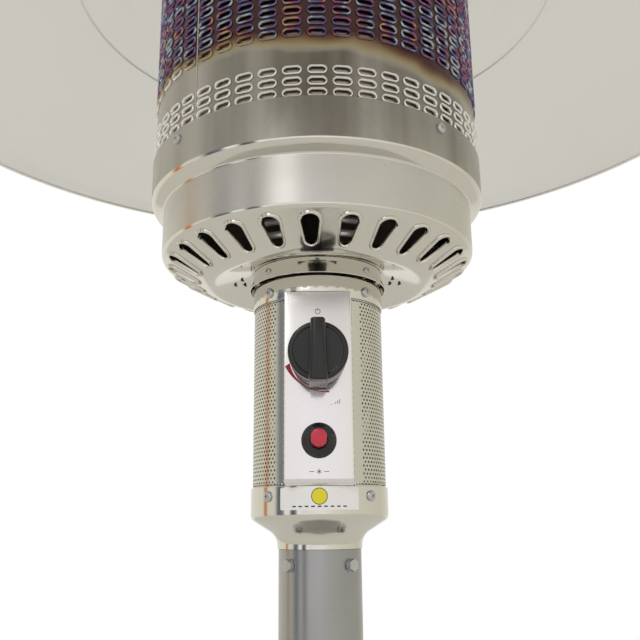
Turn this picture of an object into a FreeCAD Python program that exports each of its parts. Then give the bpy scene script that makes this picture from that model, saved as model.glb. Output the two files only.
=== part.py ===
import FreeCAD, Part
import Sketcher
import math
import os
import re

# A free-standing gas patio heater, in millimetres.
# The origin is on the floor under the post, +Z is up and the controls face -Y.
# SIZES holds every size that can be set by itself. It fills the spreadsheet "Dims".
# LEVELS holds heights and radii that follow from those sizes.
# Every size of every object is an expression of the two.

SIZES = {
    # base plate and feet
    "foot_height": 24, "foot_radius": 18, "foot_inset": 44,
    "base_margin": 45, "base_wall": 2, "base_skirt": 19, "base_bend": 7,
    # three brackets that carry the post over the gas cylinder
    "bracket_circle": 172, "bracket_wall": 4, "bracket_width": 40, "bracket_rise": 466,
    "bracket_tab": 44, "bracket_bend": 9, "arm_inner_radius": 36,
    "flange_radius": 66, "flange_wall": 5, "flange_bolt_circle": 51,
    "bolt_radius": 4, "bolt_head": 7.5, "bolt_head_height": 5, "bolt_clearance": 0.25,
    # post
    "post_radius": 30, "post_wall": 1.5, "post_length": 1221,
    "post_bolt_radius": 2.5, "post_bolt_head": 4.7, "post_bolt_head_height": 4,
    "post_bolt_drop": 10.4,
    # cover round the gas cylinder
    "cover_room": 19, "cover_wall": 0.8, "cover_headroom": 44, "cover_gap": 0.5,
    "cover_cap_rise": 15, "cover_lip": 20, "cover_neck": 10, "cover_neck_gap": 1.6, "cap_bend": 4,
    "cover_fit": 0.1, "cover_screw_count": 4,
    # wheels behind the base
    "wheel_radius": 46, "wheel_width": 24, "tyre_wall": 11, "axle_radius": 6, "axle_fit": 0.08,
    "wheel_lift": 6, "ear_gap": 88, "ear_wall": 3, "wheel_side_gap": 1.5,
    "ear_radius": 14, "wheel_plate_inset": 8, "wheel_plate_depth": 30, "axle_cap_radius": 11,
    "axle_cap_wall": 4, "hub_boss_radius": 13,
    # inner sleeve of the head and the polished cup over the post's top
    "sleeve_depth": 70, "neck_wall": 2, "neck_fit": 0.1, "neck_flange_gap": 0.7,
    "cup_gap": 0.3, "cup_neck_gap": 0.8, "cup_fit": 0.3, "cup_wall": 1,
    "cup_neck_rise": 9, "cup_flare_rise": 21, "cup_wall_height": 21.6, "cup_screw_drop": 6.6,
    "cup_neck_bend": 12, "cup_flare_bend": 6,
    # perforated sleeve round the controls, its top band and the flared collar
    "control_radius": 49.1, "control_wall": 0.8, "control_rise": 150.6, "sleeve_seat": 14,
    "band_fit": 0.1, "band_wall": 0.8, "band_height": 16.4, "collar_step": 0.6,
    "collar_flare": 2.9, "collar_height": 13, "collar_gap": 0.8, "collar_turn_in": 7.6,
    "screw_radius": 1.6, "screw_head": 3.2, "screw_head_height": 2, "screw_clearance": 0.15,
    "small_screw_head": 2.5, "band_screw_drop": 10, "collar_screw_drop": 7,
    # control panel, knob and igniter
    "panel_width": 48, "panel_drop": 13.8, "panel_reach": 4.9, "panel_depth": 14,
    "panel_wall": 1, "panel_bend": 2, "panel_gap": 0.1, "window_gap": 0.5,
    "knob_drop": 50.2, "knob_radius": 20.5, "knob_gap": 3.6, "knob_thick": 25,
    "grip_width": 10.7, "grip_height": 8.5, "grip_over": 0.5, "knob_socket": 9,
    "stem_radius": 4, "stem_fit": 0.08, "stem_hole_gap": 1, "stem_depth": 40,
    "igniter_rise": 29.8, "bezel_radius": 12.1, "bezel_height": 6, "button_radius": 5.3,
    "button_gap": 0.3, "button_out": 26, "button_in": 4, "igniter_radius": 8, "igniter_depth": 28,
    "igniter_wall": 1.2, "igniter_fit": 0.1, "spring_wire": 0.8, "spring_radius": 4.2,
    "spring_turns": 6,
    # gas valve and what stands on it
    "valve_width": 26, "valve_depth": 18, "valve_back": 12, "valve_height": 28,
    "bracket_plate": 1.5, "valve_bracket_width": 44, "valve_bracket_height": 46,
    "thrust_radius": 7, "thrust_wall": 3, "thrust_depth": 11,
    "gas_tube_radius": 6, "gas_tube_wall": 1, "inlet_radius": 7.9, "inlet_length": 14,
    "inlet_hex": 12, "inlet_hex_height": 10, "inlet_drop": 12,
    "feed_radius": 5, "jet_hex": 6.5, "jet_height": 12, "jet_drop": 24,
    "venturi_radius": 14, "venturi_wall": 1.5,
    "switch_width": 24, "switch_depth": 14, "switch_height": 30, "switch_back": 20,
    # burner bowl: dish, slotted cone, drum wall, shoulder and band
    "bowl_wall": 1, "bowl_seat_gap": 1, "cone_width": 37.7, "bowl_low_drop": 11,
    "drum_start": 9.5, "shoulder_rise": 47, "shoulder_height": 4, "shoulder_step": 9.5,
    "bowl_band_height": 32.3, "dish_bend": 14, "drum_bend": 4.5, "shoulder_bend": 5.5,
    "slot_count": 26, "slot_inset": 8, "slot_margin": 6.2, "slot_inner_width": 7,
    "slot_outer_width": 10.6, "slot_phase": -2.3,
    "bowl_screw_drop": 7.3, "bowl_screw_phase": -3.6,
    # burner inside the bowl
    "plate_wall": 1.2, "plate_gap": 0.3, "head_neck_radius": 40,
    "head_radius": 62, "head_height": 37, "pilot_radius": 3, "pilot_offset": 10,
    "pilot_room": 14, "pilot_bend": 14, "pilot_body_radius": 5, "pilot_body_height": 16,
    "probe_radius": 2.4, "probe_spacing": 13, "probe_height": 44, "pilot_stand_height": 26,
    "pilot_stand_width": 40, "pilot_stand_depth": 14, "pilot_stand_wall": 1.5,
    # emitter screen, its top plate and the reflector
    "screen_radius": 129.3, "screen_fit": 0.9, "screen_wall": 0.8, "screen_seat": 16,
    "screen_height": 189.6,
    "top_plate_radius": 161.7, "top_plate_wall": 1,
    "reflector_radius": 406.3, "reflector_wall": 1, "reflector_lip": 12.6,
    "reflector_flange": 10.2, "dome_radius": 1300, "dome_gap": 11.5,
    "stud_circle": 78, "stud_radius": 3, "spacer_radius": 8, "stud_above": 12, "stud_count": 3,
    "nut_radius": 5, "nut_height": 5, "washer_radius": 12, "washer_wall": 1.2,
    "wing_span": 26, "wing_height": 9, "wing_wall": 2.4,
    # plain label round the front of the cup
    "label_angle": 64, "label_wall": 0.2, "label_height": 15, "label_drop": 1,
}

LEVELS = {
    "cover_radius": "bracket_circle + bracket_wall + cover_room",
    "base_radius": "cover_radius + base_margin",
    "foot_circle": "base_radius - foot_inset",
    "wheel_plate_end": "base_radius - wheel_plate_inset",
    "wheel_plate_start": "wheel_plate_end - wheel_plate_depth",
    "axle_reach": "base_radius + wheel_radius",
    "axle_height": "wheel_radius + wheel_lift",
    "cover_height": "bracket_rise + flange_wall + bolt_head_height + cover_headroom",
    "neck_flange": "control_radius - control_wall - neck_flange_gap",
    "cup_neck_radius": "post_radius + cup_neck_gap",
    "cup_radius": "control_radius + cup_fit + cup_wall",
    "cup_rise": "cup_flare_rise + cup_wall_height",
    "band_radius": "control_radius + band_fit + band_wall",
    "collar_radius": "band_radius + collar_step",
    "collar_flare_radius": "collar_radius + collar_flare",
    "collar_flange": "collar_radius - collar_turn_in",
    "bowl_seat_inner": "collar_flange + bowl_seat_gap",
    "panel_height": "control_rise - panel_drop",
    "panel_front": "control_radius + panel_reach",
    "valve_front": "panel_front - valve_depth",
    "thrust_seat": "panel_front - thrust_depth",
    "stem_end": "panel_front - stem_depth",
    "grip_length": "2 * (knob_radius + grip_over)",
    "bowl_band_radius": "screen_radius + screen_fit + bowl_wall",
    "drum_radius": "bowl_band_radius - shoulder_step",
    "bowl_low_radius": "drum_radius - cone_width",
    "slot_start": "bowl_low_radius + slot_inset",
    "slot_end": "drum_radius - slot_margin",
    "pilot_circle": "head_radius + pilot_room",
    "reflector_crease": "reflector_radius - reflector_lip",
    "plate_top": "foot_height + base_wall",
    "bracket_top": "plate_top + bracket_rise",
    "tab_end": "bracket_circle + bracket_wall - bracket_tab",
    "base_bolt_circle": "bracket_circle + bracket_wall - bracket_tab / 2 - 4",
    "post_foot": "bracket_top + flange_wall",
    "post_top": "post_foot + post_length",
    "post_bore": "post_radius - post_wall",
    "cover_foot": "plate_top + cover_gap",
    "cover_top": "cover_foot + cover_height",
    "cover_hole": "post_radius + cover_neck_gap",
    "wheel_start": "ear_gap / 2 + ear_wall + wheel_side_gap",
    "wheel_end": "wheel_start + wheel_width",
    "cup_foot": "post_top + cup_gap",
    "cup_top": "post_top + cup_rise",
    "neck_top": "post_top + cup_flare_rise + 6",
    "neck_outer": "post_bore - neck_fit",
    "control_foot": "cup_top - sleeve_seat",
    "control_top": "cup_top + control_rise",
    "panel_foot": "cup_top + panel_gap",
    "panel_back": "panel_front - panel_depth",
    "knob_level": "panel_foot + panel_height - knob_drop",
    "knob_back": "panel_front + knob_gap",
    "knob_face": "knob_back + knob_thick",
    "igniter_level": "panel_foot + igniter_rise",
    "valve_foot": "knob_level - valve_height / 2",
    "valve_top": "knob_level + valve_height / 2",
    "band_foot": "control_top - band_height",
    "bowl_foot": "control_top + collar_gap + collar_height",
    "bowl_top": "bowl_foot + shoulder_rise + shoulder_height + bowl_band_height",
    "collar_slope": "(collar_flare_radius - collar_radius) / (collar_height * 3 / 4)",
    "collar_screw_seat": "collar_radius + collar_slope * (collar_screw_drop "
                         "- collar_height / 4 + small_screw_head)",
    "plate_level": "bowl_foot + shoulder_rise + shoulder_height",
    "plate_face": "plate_level + plate_wall",
    "jet_foot": "bowl_foot - jet_drop",
    "screen_foot": "bowl_top - screen_seat",
    "screen_top": "screen_foot + screen_height",
    "plate_cap": "screen_top + top_plate_wall",
    "apex": "plate_cap + dome_gap",
    "stud_drop": "stud_circle * stud_circle / (2 * dome_radius)",
    "stud_seat": "apex - stud_drop",
    "crease_level": "apex - reflector_crease * reflector_crease / (2 * dome_radius)",
    "rim_level": "crease_level - reflector_flange",
    "gas_foot": "bracket_top - inlet_drop",
    "pilot_level": "plate_face + pilot_stand_height",
    "axle_half": "wheel_end + 2",
    "wheel_bolt_y": "(wheel_plate_start + wheel_plate_end) / 2",
}

doc = FreeCAD.newDocument("PatioHeater")
dims = doc.addObject("Spreadsheet::Sheet", "Dims")
for row, (alias, size) in enumerate(SIZES.items(), start=1):
    dims.set(f"A{row}", alias.replace("_", " "))
    dims.set(f"B{row}", str(size))
    dims.setAlias(f"B{row}", alias)
doc.recompute()

PARTS = []
Z_AXIS = FreeCAD.Vector(0, 0, 1)
TO_FRONT = FreeCAD.Rotation(FreeCAD.Vector(1, 0, 0), 90)   # turns local +Z to -Y
TO_SIDE = FreeCAD.Rotation(FreeCAD.Vector(0, 1, 0), 90)    # turns local +Z to +X
UPRIGHT = FreeCAD.Rotation(FreeCAD.Vector(1, 1, 1), 120)   # turns local X, Y, Z to Y, Z, X


# Expressions ---------------------------------------------------------------

def formula(text):
    """Write the sizes and levels named in text as an expression of the sheet's cells."""
    def swap(match):
        word = match.group(0)
        if word in LEVELS:
            return "(" + formula(LEVELS[word]) + ")"
        return "Dims." + word if word in SIZES else word
    return re.sub(r"[a-z][a-z_]*", swap, text)


def number(text):
    """The value of an expression as a plain number."""
    value = dims.evalExpression(formula(text))
    return float(getattr(value, "Value", value))


def bind(thing, **sizes):
    """Bind properties of an object to expressions."""
    for name, text in sizes.items():
        thing.setExpression(name, formula(text))
    return thing


def place(thing, x="0", y="0", z="0", rotation=None):
    """Put an object at an expression-bound place."""
    if rotation:
        thing.Placement = FreeCAD.Placement(FreeCAD.Vector(), rotation)
    for axis, text in zip("xyz", (x, y, z)):
        if text != "0":
            thing.setExpression("Placement.Base." + axis, formula(text))
    return thing


def keep(label, thing):
    """Name an object as a finished sub-part."""
    thing.Label = label
    PARTS.append(thing)
    return thing


# Sketched outlines ---------------------------------------------------------

def bend_points(before, corner, after, radius):
    """Where a bend of the given radius starts and ends, its centre and its turn."""
    first = (before - corner).normalize()
    second = (after - corner).normalize()
    half = first.getAngle(second) / 2
    start = corner + first * (radius / math.tan(half))
    end = corner + second * (radius / math.tan(half))
    centre = corner + (first + second).normalize() * (radius / math.sin(half))
    anticlockwise = (start - centre).cross(end - centre).z > 0
    return start, end, centre, anticlockwise


def draw_outline(sketch, corners, closed):
    """Draw runs through (x, y, bend) corners and bind each corner and bend to the sheet.

    A bend of None is a sharp corner. An open outline has sharp ends.
    """
    count = len(corners)
    spots = [FreeCAD.Vector(number(x), number(y), 0) for x, y, bend in corners]
    bends = {}
    for i, (x, y, bend) in enumerate(corners):
        if bend is not None:
            bends[i] = bend_points(spots[i - 1], spots[i], spots[(i + 1) % count], number(bend))
    runs = []
    for i in range(count if closed else count - 1):
        j = (i + 1) % count
        start = bends[i][1] if i in bends else spots[i]
        end = bends[j][0] if j in bends else spots[j]
        runs.append(sketch.addGeometry(Part.LineSegment(start, end), False))

    def pin(geometry, point, x, y):
        for kind, text, axis in (("DistanceX", x, -2), ("DistanceY", y, -1)):
            if text == "0":
                sketch.addConstraint(Sketcher.Constraint("PointOnObject", geometry, point, axis))
                continue
            size = number(text)
            spot = sketch.addConstraint(Sketcher.Constraint(kind, -1, 1, geometry, point, size))
            sketch.setExpression(f"Constraints[{spot}]", formula(text))

    for i, (x, y, bend) in enumerate(corners):
        before = runs[i - 1] if closed or i > 0 else None
        after = runs[i] if i < len(runs) else None
        if bend is None:
            if before is not None and after is not None:
                sketch.addConstraint(Sketcher.Constraint("Coincident", before, 2, after, 1))
            if after is not None:
                pin(after, 1, x, y)
            else:
                pin(before, 2, x, y)
            continue
        start, end, centre, anticlockwise = bends[i]
        a, b = (start, end) if anticlockwise else (end, start)
        angles = [math.atan2((p - centre).y, (p - centre).x) for p in (a, b)]
        circle = Part.Circle(centre, Z_AXIS, (start - centre).Length)
        arc = sketch.addGeometry(Part.ArcOfCircle(circle, *angles), False)
        spot = sketch.addGeometry(Part.Point(spots[i]), True)
        pin(spot, 1, x, y)
        sketch.addConstraint(Sketcher.Constraint("PointOnObject", spot, 1, before))
        sketch.addConstraint(Sketcher.Constraint("PointOnObject", spot, 1, after))
        first, last = (1, 2) if anticlockwise else (2, 1)
        sketch.addConstraint(Sketcher.Constraint("Tangent", before, 2, arc, first))
        sketch.addConstraint(Sketcher.Constraint("Tangent", arc, last, after, 1))
        radius = sketch.addConstraint(Sketcher.Constraint("Radius", arc, number(bend)))
        sketch.setExpression(f"Constraints[{radius}]", formula(bend))


def body_sketch(body, plane, corners):
    """A closed sketch on one of a body's own origin planes."""
    sketch = body.newObject("Sketcher::SketchObject", body.Name + "_sketch")
    origin = next(item for item in body.Origin.OriginFeatures if item.Role == plane)
    sketch.AttachmentSupport = (origin, [""])
    sketch.MapMode = "FlatFace"
    draw_outline(sketch, corners, closed=True)
    return sketch


def sharp(*corners):
    """Corners with no bends."""
    return [(x, y, None) for x, y in corners]


def turned(name, corners):
    """A body turned about Z from a closed outline of (radius, height, bend) corners."""
    body = doc.addObject("PartDesign::Body", name)
    sketch = body_sketch(body, "XZ_Plane", corners)
    spin = body.newObject("PartDesign::Revolution", name + "_turn")
    spin.Profile = sketch
    spin.ReferenceAxis = (sketch, ["V_Axis"])
    spin.Angle = 360
    return body


def padded(name, corners, height):
    """A body padded up from a closed outline of (x, y, bend) corners."""
    body = doc.addObject("PartDesign::Body", name)
    sketch = body_sketch(body, "XY_Plane", corners)
    pad = body.newObject("PartDesign::Pad", name + "_pad")
    pad.Profile = sketch
    bind(pad, Length=height)
    return body


def spun(name, wall, corners):
    """Sheet of even wall turned about Z.

    The outline runs up the outer face, and the wall lies on its left.
    """
    sketch = upright_sketch(name + "_outline")
    draw_outline(sketch, corners, closed=False)
    return spin_sheet(name, wall, sketch)


def upright_sketch(name):
    """A sketch on the plane through the post's axis, X outwards and Y up."""
    sketch = doc.addObject("Sketcher::SketchObject", name)
    sketch.Placement = FreeCAD.Placement(FreeCAD.Vector(), TO_FRONT)
    return sketch


def spin_sheet(name, wall, sketch):
    """Give an open outline its wall, on the left of its first edge, and turn it about Z."""
    sheet = doc.addObject("Part::Offset2D", name + "_sheet")
    sheet.Source = sketch
    sheet.Fill = True
    sheet.Mode = "Skin"
    sheet.Join = "Intersection"
    bind(sheet, Value=wall)
    doc.recompute()
    ends = sketch.Geometry[0]
    along = (ends.EndPoint - ends.StartPoint).normalize()
    left = FreeCAD.Vector(-along.y, along.x, 0) * (number(wall) / 2)
    inside = sketch.Placement.multVec((ends.StartPoint + ends.EndPoint) / 2 + left)
    if not sheet.Shape.isInside(inside, 0.01, True):
        bind(sheet, Value=f"-({wall})")
    shell = doc.addObject("Part::Revolution", name)
    shell.Source = sheet
    shell.Axis = Z_AXIS
    shell.Angle = 360
    return shell


def tube(name, inner, outer, low, high):
    """A turned tube between two radii and two heights."""
    return turned(name, sharp((inner, low), (outer, low), (outer, high), (inner, high)))


# Primitives and booleans ---------------------------------------------------

def rod(name, radius, height, **where):
    """A cylinder along its own Z."""
    return place(bind(doc.addObject("Part::Cylinder", name), Radius=radius, Height=height), **where)


def hexagon(name, radius, height, **where):
    """A six-sided prism along its own Z."""
    prism = doc.addObject("Part::Prism", name)
    prism.Polygon = 6
    return place(bind(prism, Circumradius=radius, Height=height), **where)


def block(name, length, width, height, y, z, x=None):
    """A box from y and z, centred in X unless x is given."""
    box = bind(doc.addObject("Part::Box", name), Length=length, Width=width, Height=height)
    return place(box, x or f"-({length}) / 2", y, z)


def cut(name, base, *tools):
    """Cut tools from a base."""
    result = doc.addObject("Part::Cut", name)
    result.Base = base
    result.Tool = tools[0] if len(tools) == 1 else group(name + "_tools", *tools)
    return result


def fuse(name, *shapes):
    """Join shapes into one solid."""
    result = doc.addObject("Part::MultiFuse", name)
    result.Shapes = list(shapes)
    result.Refine = True
    return result


def group(name, *shapes):
    """Hold shapes together as separate solids."""
    result = doc.addObject("Part::Compound", name)
    result.Links = list(shapes)
    return result


def around(name, piece, count, start="0", step=None):
    """Copies of a piece turned about the post, count of them evenly or by step."""
    copies = []
    for i in range(int(number(count))):
        copy = group(f"{name}_{i + 1}", piece)
        copy.Placement = FreeCAD.Placement(FreeCAD.Vector(), FreeCAD.Rotation(Z_AXIS, 1))
        turn = step or f"360 / ({count})"
        copy.setExpression("Placement.Rotation.Angle", formula(f"{start} + {i} * {turn}"))
        copies.append(copy)
    return group(name, *copies)


def side_screw(name, seat, level, head, head_height, shank, grip, sides=False):
    """A screw on the +X side of the post's axis, head outwards, seated at radius seat."""
    shape = hexagon if sides else rod
    top = shape(name + "_head", head, head_height, x=seat, z=level, rotation=TO_SIDE)
    start = f"{seat} - ({grip})"
    shaft = rod(name + "_shank", shank, grip, x=start, z=level, rotation=TO_SIDE)
    return fuse(name + "_one", top, shaft)


def side_hole(name, radius, reach, level):
    """A drill along +X from the axis out to reach."""
    return rod(name, radius, reach, z=level, rotation=TO_SIDE)


def screw_ring(name, seat, level, head, head_height, shank, grip, count, start, sides=False):
    """A ring of screws round the post's axis."""
    one = side_screw(name, seat, level, head, head_height, shank, grip, sides)
    return keep(name, around(name + "_ring", one, count, start))


def drilled(name, shell, shank, gap, reach, level, count, start):
    """Side holes through a shell for a ring of screws."""
    drill = side_hole(name + "_drill", f"{shank} + {gap}", reach, level)
    return cut(name + "_drilled", shell, around(name + "_drills", drill, count, start))


# Base, brackets and post ---------------------------------------------------

def make_base():
    foot = rod("foot", "foot_radius", "foot_height", x="foot_circle")
    keep("base_feet", around("feet", foot, "4", "45"))
    skirt = [
        ("base_radius", "plate_top - base_skirt - base_wall", None),
        ("base_radius", "plate_top", "base_bend"),
        ("0", "plate_top", None),
    ]
    plate = spun("plate", "base_wall", skirt)
    reach = {"z": "foot_height - 1"}
    drills = [around("base_drills", rod("base_drill", "bolt_radius + bolt_clearance",
                                        "base_wall + 2", x="base_bolt_circle", **reach), "3", "90")]
    for side in ("", "-"):
        drills.append(rod("wheel_drill", "bolt_radius + bolt_clearance", "base_wall + 2",
                          x=side + "ear_gap / 4", y="wheel_bolt_y", **reach))
    keep("base_plate", cut("base_plate", plate, *drills))


def make_brackets():
    strip = [
        ("tab_end", "plate_top", None),
        ("bracket_circle + bracket_wall", "plate_top", "bracket_bend"),
        ("bracket_circle + bracket_wall", "bracket_top", "bracket_bend"),
        ("arm_inner_radius", "bracket_top", None),
        ("arm_inner_radius", "bracket_top - bracket_wall", None),
        ("bracket_circle", "bracket_top - bracket_wall", "bracket_bend - bracket_wall"),
        ("bracket_circle", "plate_top + bracket_wall", "bracket_bend - bracket_wall"),
        ("tab_end", "plate_top + bracket_wall", None),
    ]
    for i in range(3):
        body = doc.addObject("PartDesign::Body", f"bracket_{i + 1}")
        sketch = body_sketch(body, "XZ_Plane", strip)
        pad = body.newObject("PartDesign::Pad", f"bracket_pad_{i + 1}")
        pad.Profile = sketch
        pad.Midplane = True
        bind(pad, Length="bracket_width")
        width = "bolt_radius + bolt_clearance"
        low = rod(f"low_drill_{i + 1}", width, "bracket_wall + 2", x="base_bolt_circle",
                  z="plate_top - 1")
        high = rod(f"high_drill_{i + 1}", width, "bracket_wall + 2", x="flange_bolt_circle",
                   z="bracket_top - bracket_wall - 1")
        bracket = keep(f"support_bracket_{i + 1}", cut(f"support_{i + 1}", body, low, high))
        bracket.Placement = FreeCAD.Placement(FreeCAD.Vector(),
                                              FreeCAD.Rotation(Z_AXIS, 90 + 120 * i))
    for name, circle, low, grip in (
        ("bracket_base_bolts", "base_bolt_circle", "foot_height", "base_wall + bracket_wall"),
        ("bracket_flange_bolts", "flange_bolt_circle", "bracket_top - bracket_wall",
         "bracket_wall + flange_wall"),
    ):
        keep(name, around(name + "_ring", upright_bolt(name, circle, "0", low, grip), "3", "90"))


def upright_bolt(name, x, y, low, grip):
    """A bolt through plates from low up by grip, with its head on top and its nut below."""
    head = hexagon(name + "_head", "bolt_head", "bolt_head_height", x=x, y=y,
                   z=f"{low} + {grip}")
    nut = hexagon(name + "_nut", "bolt_head", "bolt_head_height", x=x, y=y,
                  z=f"{low} - bolt_head_height")
    shank = rod(name + "_shank", "bolt_radius", grip, x=x, y=y, z=low)
    return fuse(name + "_one", head, shank, nut)


def make_wheels():
    plate = block("wheel_plate", "ear_gap + 2 * ear_wall", "wheel_plate_end - wheel_plate_start",
                  "ear_wall", "wheel_plate_start", "plate_top")
    solids = [plate]
    drills = []
    for name, side in (("left", "-"), ("right", "")):
        ear = padded(f"ear_{name}", [
            ("wheel_plate_start", "plate_top", None), ("wheel_plate_end + 12", "plate_top", None),
            ("axle_reach", "axle_height - ear_radius", "ear_radius - 1"),
            ("axle_reach + ear_radius", "axle_height - ear_radius + 2", "ear_radius / 2"),
            ("axle_reach + ear_radius", "axle_height + ear_radius", "ear_radius - 1"),
            ("wheel_plate_start + 30", "axle_height + ear_radius", "10"),
            ("wheel_plate_start", "plate_top + 8", None),
        ], "ear_wall")
        spot = "ear_gap / 2" if side == "" else "-ear_gap / 2 - ear_wall"
        place(ear, x=spot, rotation=UPRIGHT)
        solids.append(ear)
        drills.append(rod(f"plate_drill_{name}", "bolt_radius + bolt_clearance", "ear_wall + 2",
                          x=side + "ear_gap / 4", y="wheel_bolt_y", z="plate_top - 1"))
        hub = turned(f"hub_{name}", [
            ("axle_radius + axle_fit", "0", None), ("hub_boss_radius", "0", None),
            ("hub_boss_radius", "5", "1.5"), ("wheel_radius - tyre_wall - 5", "5", "1.5"),
            ("wheel_radius - tyre_wall - 5", "1", None), ("wheel_radius - tyre_wall", "1", None),
            ("wheel_radius - tyre_wall", "wheel_width - 1", None),
            ("wheel_radius - tyre_wall - 5", "wheel_width - 1", None),
            ("wheel_radius - tyre_wall - 5", "wheel_width - 5", "1.5"),
            ("hub_boss_radius", "wheel_width - 5", "1.5"), ("hub_boss_radius", "wheel_width", None),
            ("axle_radius + axle_fit", "wheel_width", None),
        ])
        tyre = turned(f"tyre_{name}", [
            ("wheel_radius - tyre_wall", "1", None), ("wheel_radius", "0", "5"),
            ("wheel_radius", "wheel_width", "5"),
            ("wheel_radius - tyre_wall", "wheel_width - 1", None),
        ])
        start = "wheel_start" if side == "" else "-wheel_end"
        for kind, piece in (("hub", hub), ("tyre", tyre)):
            keep(f"wheel_{kind}_{name}", piece)
            place(piece, x=start, y="axle_reach", z="axle_height", rotation=TO_SIDE)
    bracket = fuse("wheel_bracket_solid", *solids)
    drills.append(rod("axle_drill", "axle_radius + 0.02", "2 * axle_half", x="-axle_half",
                      y="axle_reach", z="axle_height", rotation=TO_SIDE))
    keep("wheel_bracket", cut("wheel_bracket", bracket, *drills))
    axle = [rod("axle_rod", "axle_radius", "2 * axle_half", x="-axle_half",
                y="axle_reach", z="axle_height", rotation=TO_SIDE)]
    for name, start in (("left", "-axle_half - axle_cap_wall"), ("right", "axle_half")):
        axle.append(rod(f"axle_cap_{name}", "axle_cap_radius", "axle_cap_wall", x=start,
                        y="axle_reach", z="axle_height", rotation=TO_SIDE))
    keep("wheel_axle", fuse("wheel_axle", *axle))
    bolts = [upright_bolt(f"wheel_bolt_{name}", side + "ear_gap / 4", "wheel_bolt_y",
                          "foot_height", "base_wall + ear_wall")
             for name, side in (("left", "-"), ("right", ""))]
    keep("wheel_bracket_bolts", group("wheel_bolt_pair", *bolts))


def make_post():
    keep("post_flange", cut(
        "post_flange",
        tube("flange_disc", "gas_tube_radius", "flange_radius", "bracket_top", "post_foot"),
        around("flange_drills", rod("flange_drill", "bolt_radius + bolt_clearance",
                                    "flange_wall + 2", x="flange_bolt_circle",
                                    z="bracket_top - 1"), "3", "90")))
    bolt_level = "post_top - post_bolt_drop"
    post = tube("post_tube", "post_bore", "post_radius", "post_foot", "post_top")
    keep("post", drilled("post", post, "post_bolt_radius", "bolt_clearance", "post_radius + 5",
                         bolt_level, "4", "45"))
    neck = turned("neck", sharp(
        ("neck_outer - neck_wall", "post_top - sleeve_depth"),
        ("neck_outer", "post_top - sleeve_depth"), ("neck_outer", "neck_top - 2"),
        ("neck_flange", "neck_top - 2"), ("neck_flange", "neck_top"),
        ("neck_outer - neck_wall", "neck_top")))
    keep("neck_sleeve", drilled("neck_sleeve", neck, "post_bolt_radius", "bolt_clearance",
                                "post_radius + 5", bolt_level, "4", "45"))
    screw_ring("post_bolts", "post_radius", bolt_level, "post_bolt_head", "post_bolt_head_height",
               "post_bolt_radius", "post_wall + neck_fit + neck_wall + 2", "4", "45", sides=True)
    keep("gas_tube", tube("gas_pipe", "gas_tube_radius - gas_tube_wall", "gas_tube_radius",
                          "gas_foot", "valve_foot"))
    bore = "gas_tube_radius - gas_tube_wall"
    nut = hexagon("inlet_hexagon", "inlet_hex", "inlet_hex_height",
                  z="gas_foot - inlet_hex_height")
    thread = rod("inlet_thread", "inlet_radius", "inlet_length",
                 z="gas_foot - inlet_hex_height - inlet_length")
    drill = rod("inlet_drill", bore, "inlet_length + inlet_hex_height + 2",
                z="gas_foot - inlet_hex_height - inlet_length - 1")
    keep("inlet_fitting", cut("inlet", fuse("inlet_solid", nut, thread), drill))


def make_cover():
    wall = tube("cover_wall_tube", "cover_radius - cover_wall", "cover_radius", "cover_foot",
                "cover_top - cap_bend - 1")
    drill_level = "cover_top - cover_lip / 2"
    count = "cover_screw_count"
    keep("tank_cover", drilled("tank_cover", wall, "screw_radius", "screw_clearance",
                               "cover_radius + 5", drill_level, count, "45"))
    lip = "cover_radius + cover_fit + cover_wall"
    cap = spun("cap", "cover_wall", [
        (lip, "cover_top - cover_lip", None),
        (lip, "cover_top + cover_wall + 0.5", "cap_bend"),
        ("cover_radius - 8", "cover_top + cover_wall + 2", "6"),
        ("cover_hole + 8", "cover_top + cover_cap_rise", "5"),
        ("cover_hole + cover_wall", "cover_top + cover_cap_rise + 2", "2"),
        ("cover_hole + cover_wall", "cover_top + cover_cap_rise + cover_neck", None),
    ])
    keep("tank_cover_top", drilled("tank_cover_top", cap, "screw_radius", "screw_clearance",
                                   "cover_radius + 5", drill_level, count, "45"))
    screw_ring("tank_cover_screws", lip, drill_level, "screw_head", "screw_head_height",
               "screw_radius", "2 * cover_wall + cover_fit + 2", count, "45")


# Control head --------------------------------------------------------------

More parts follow.
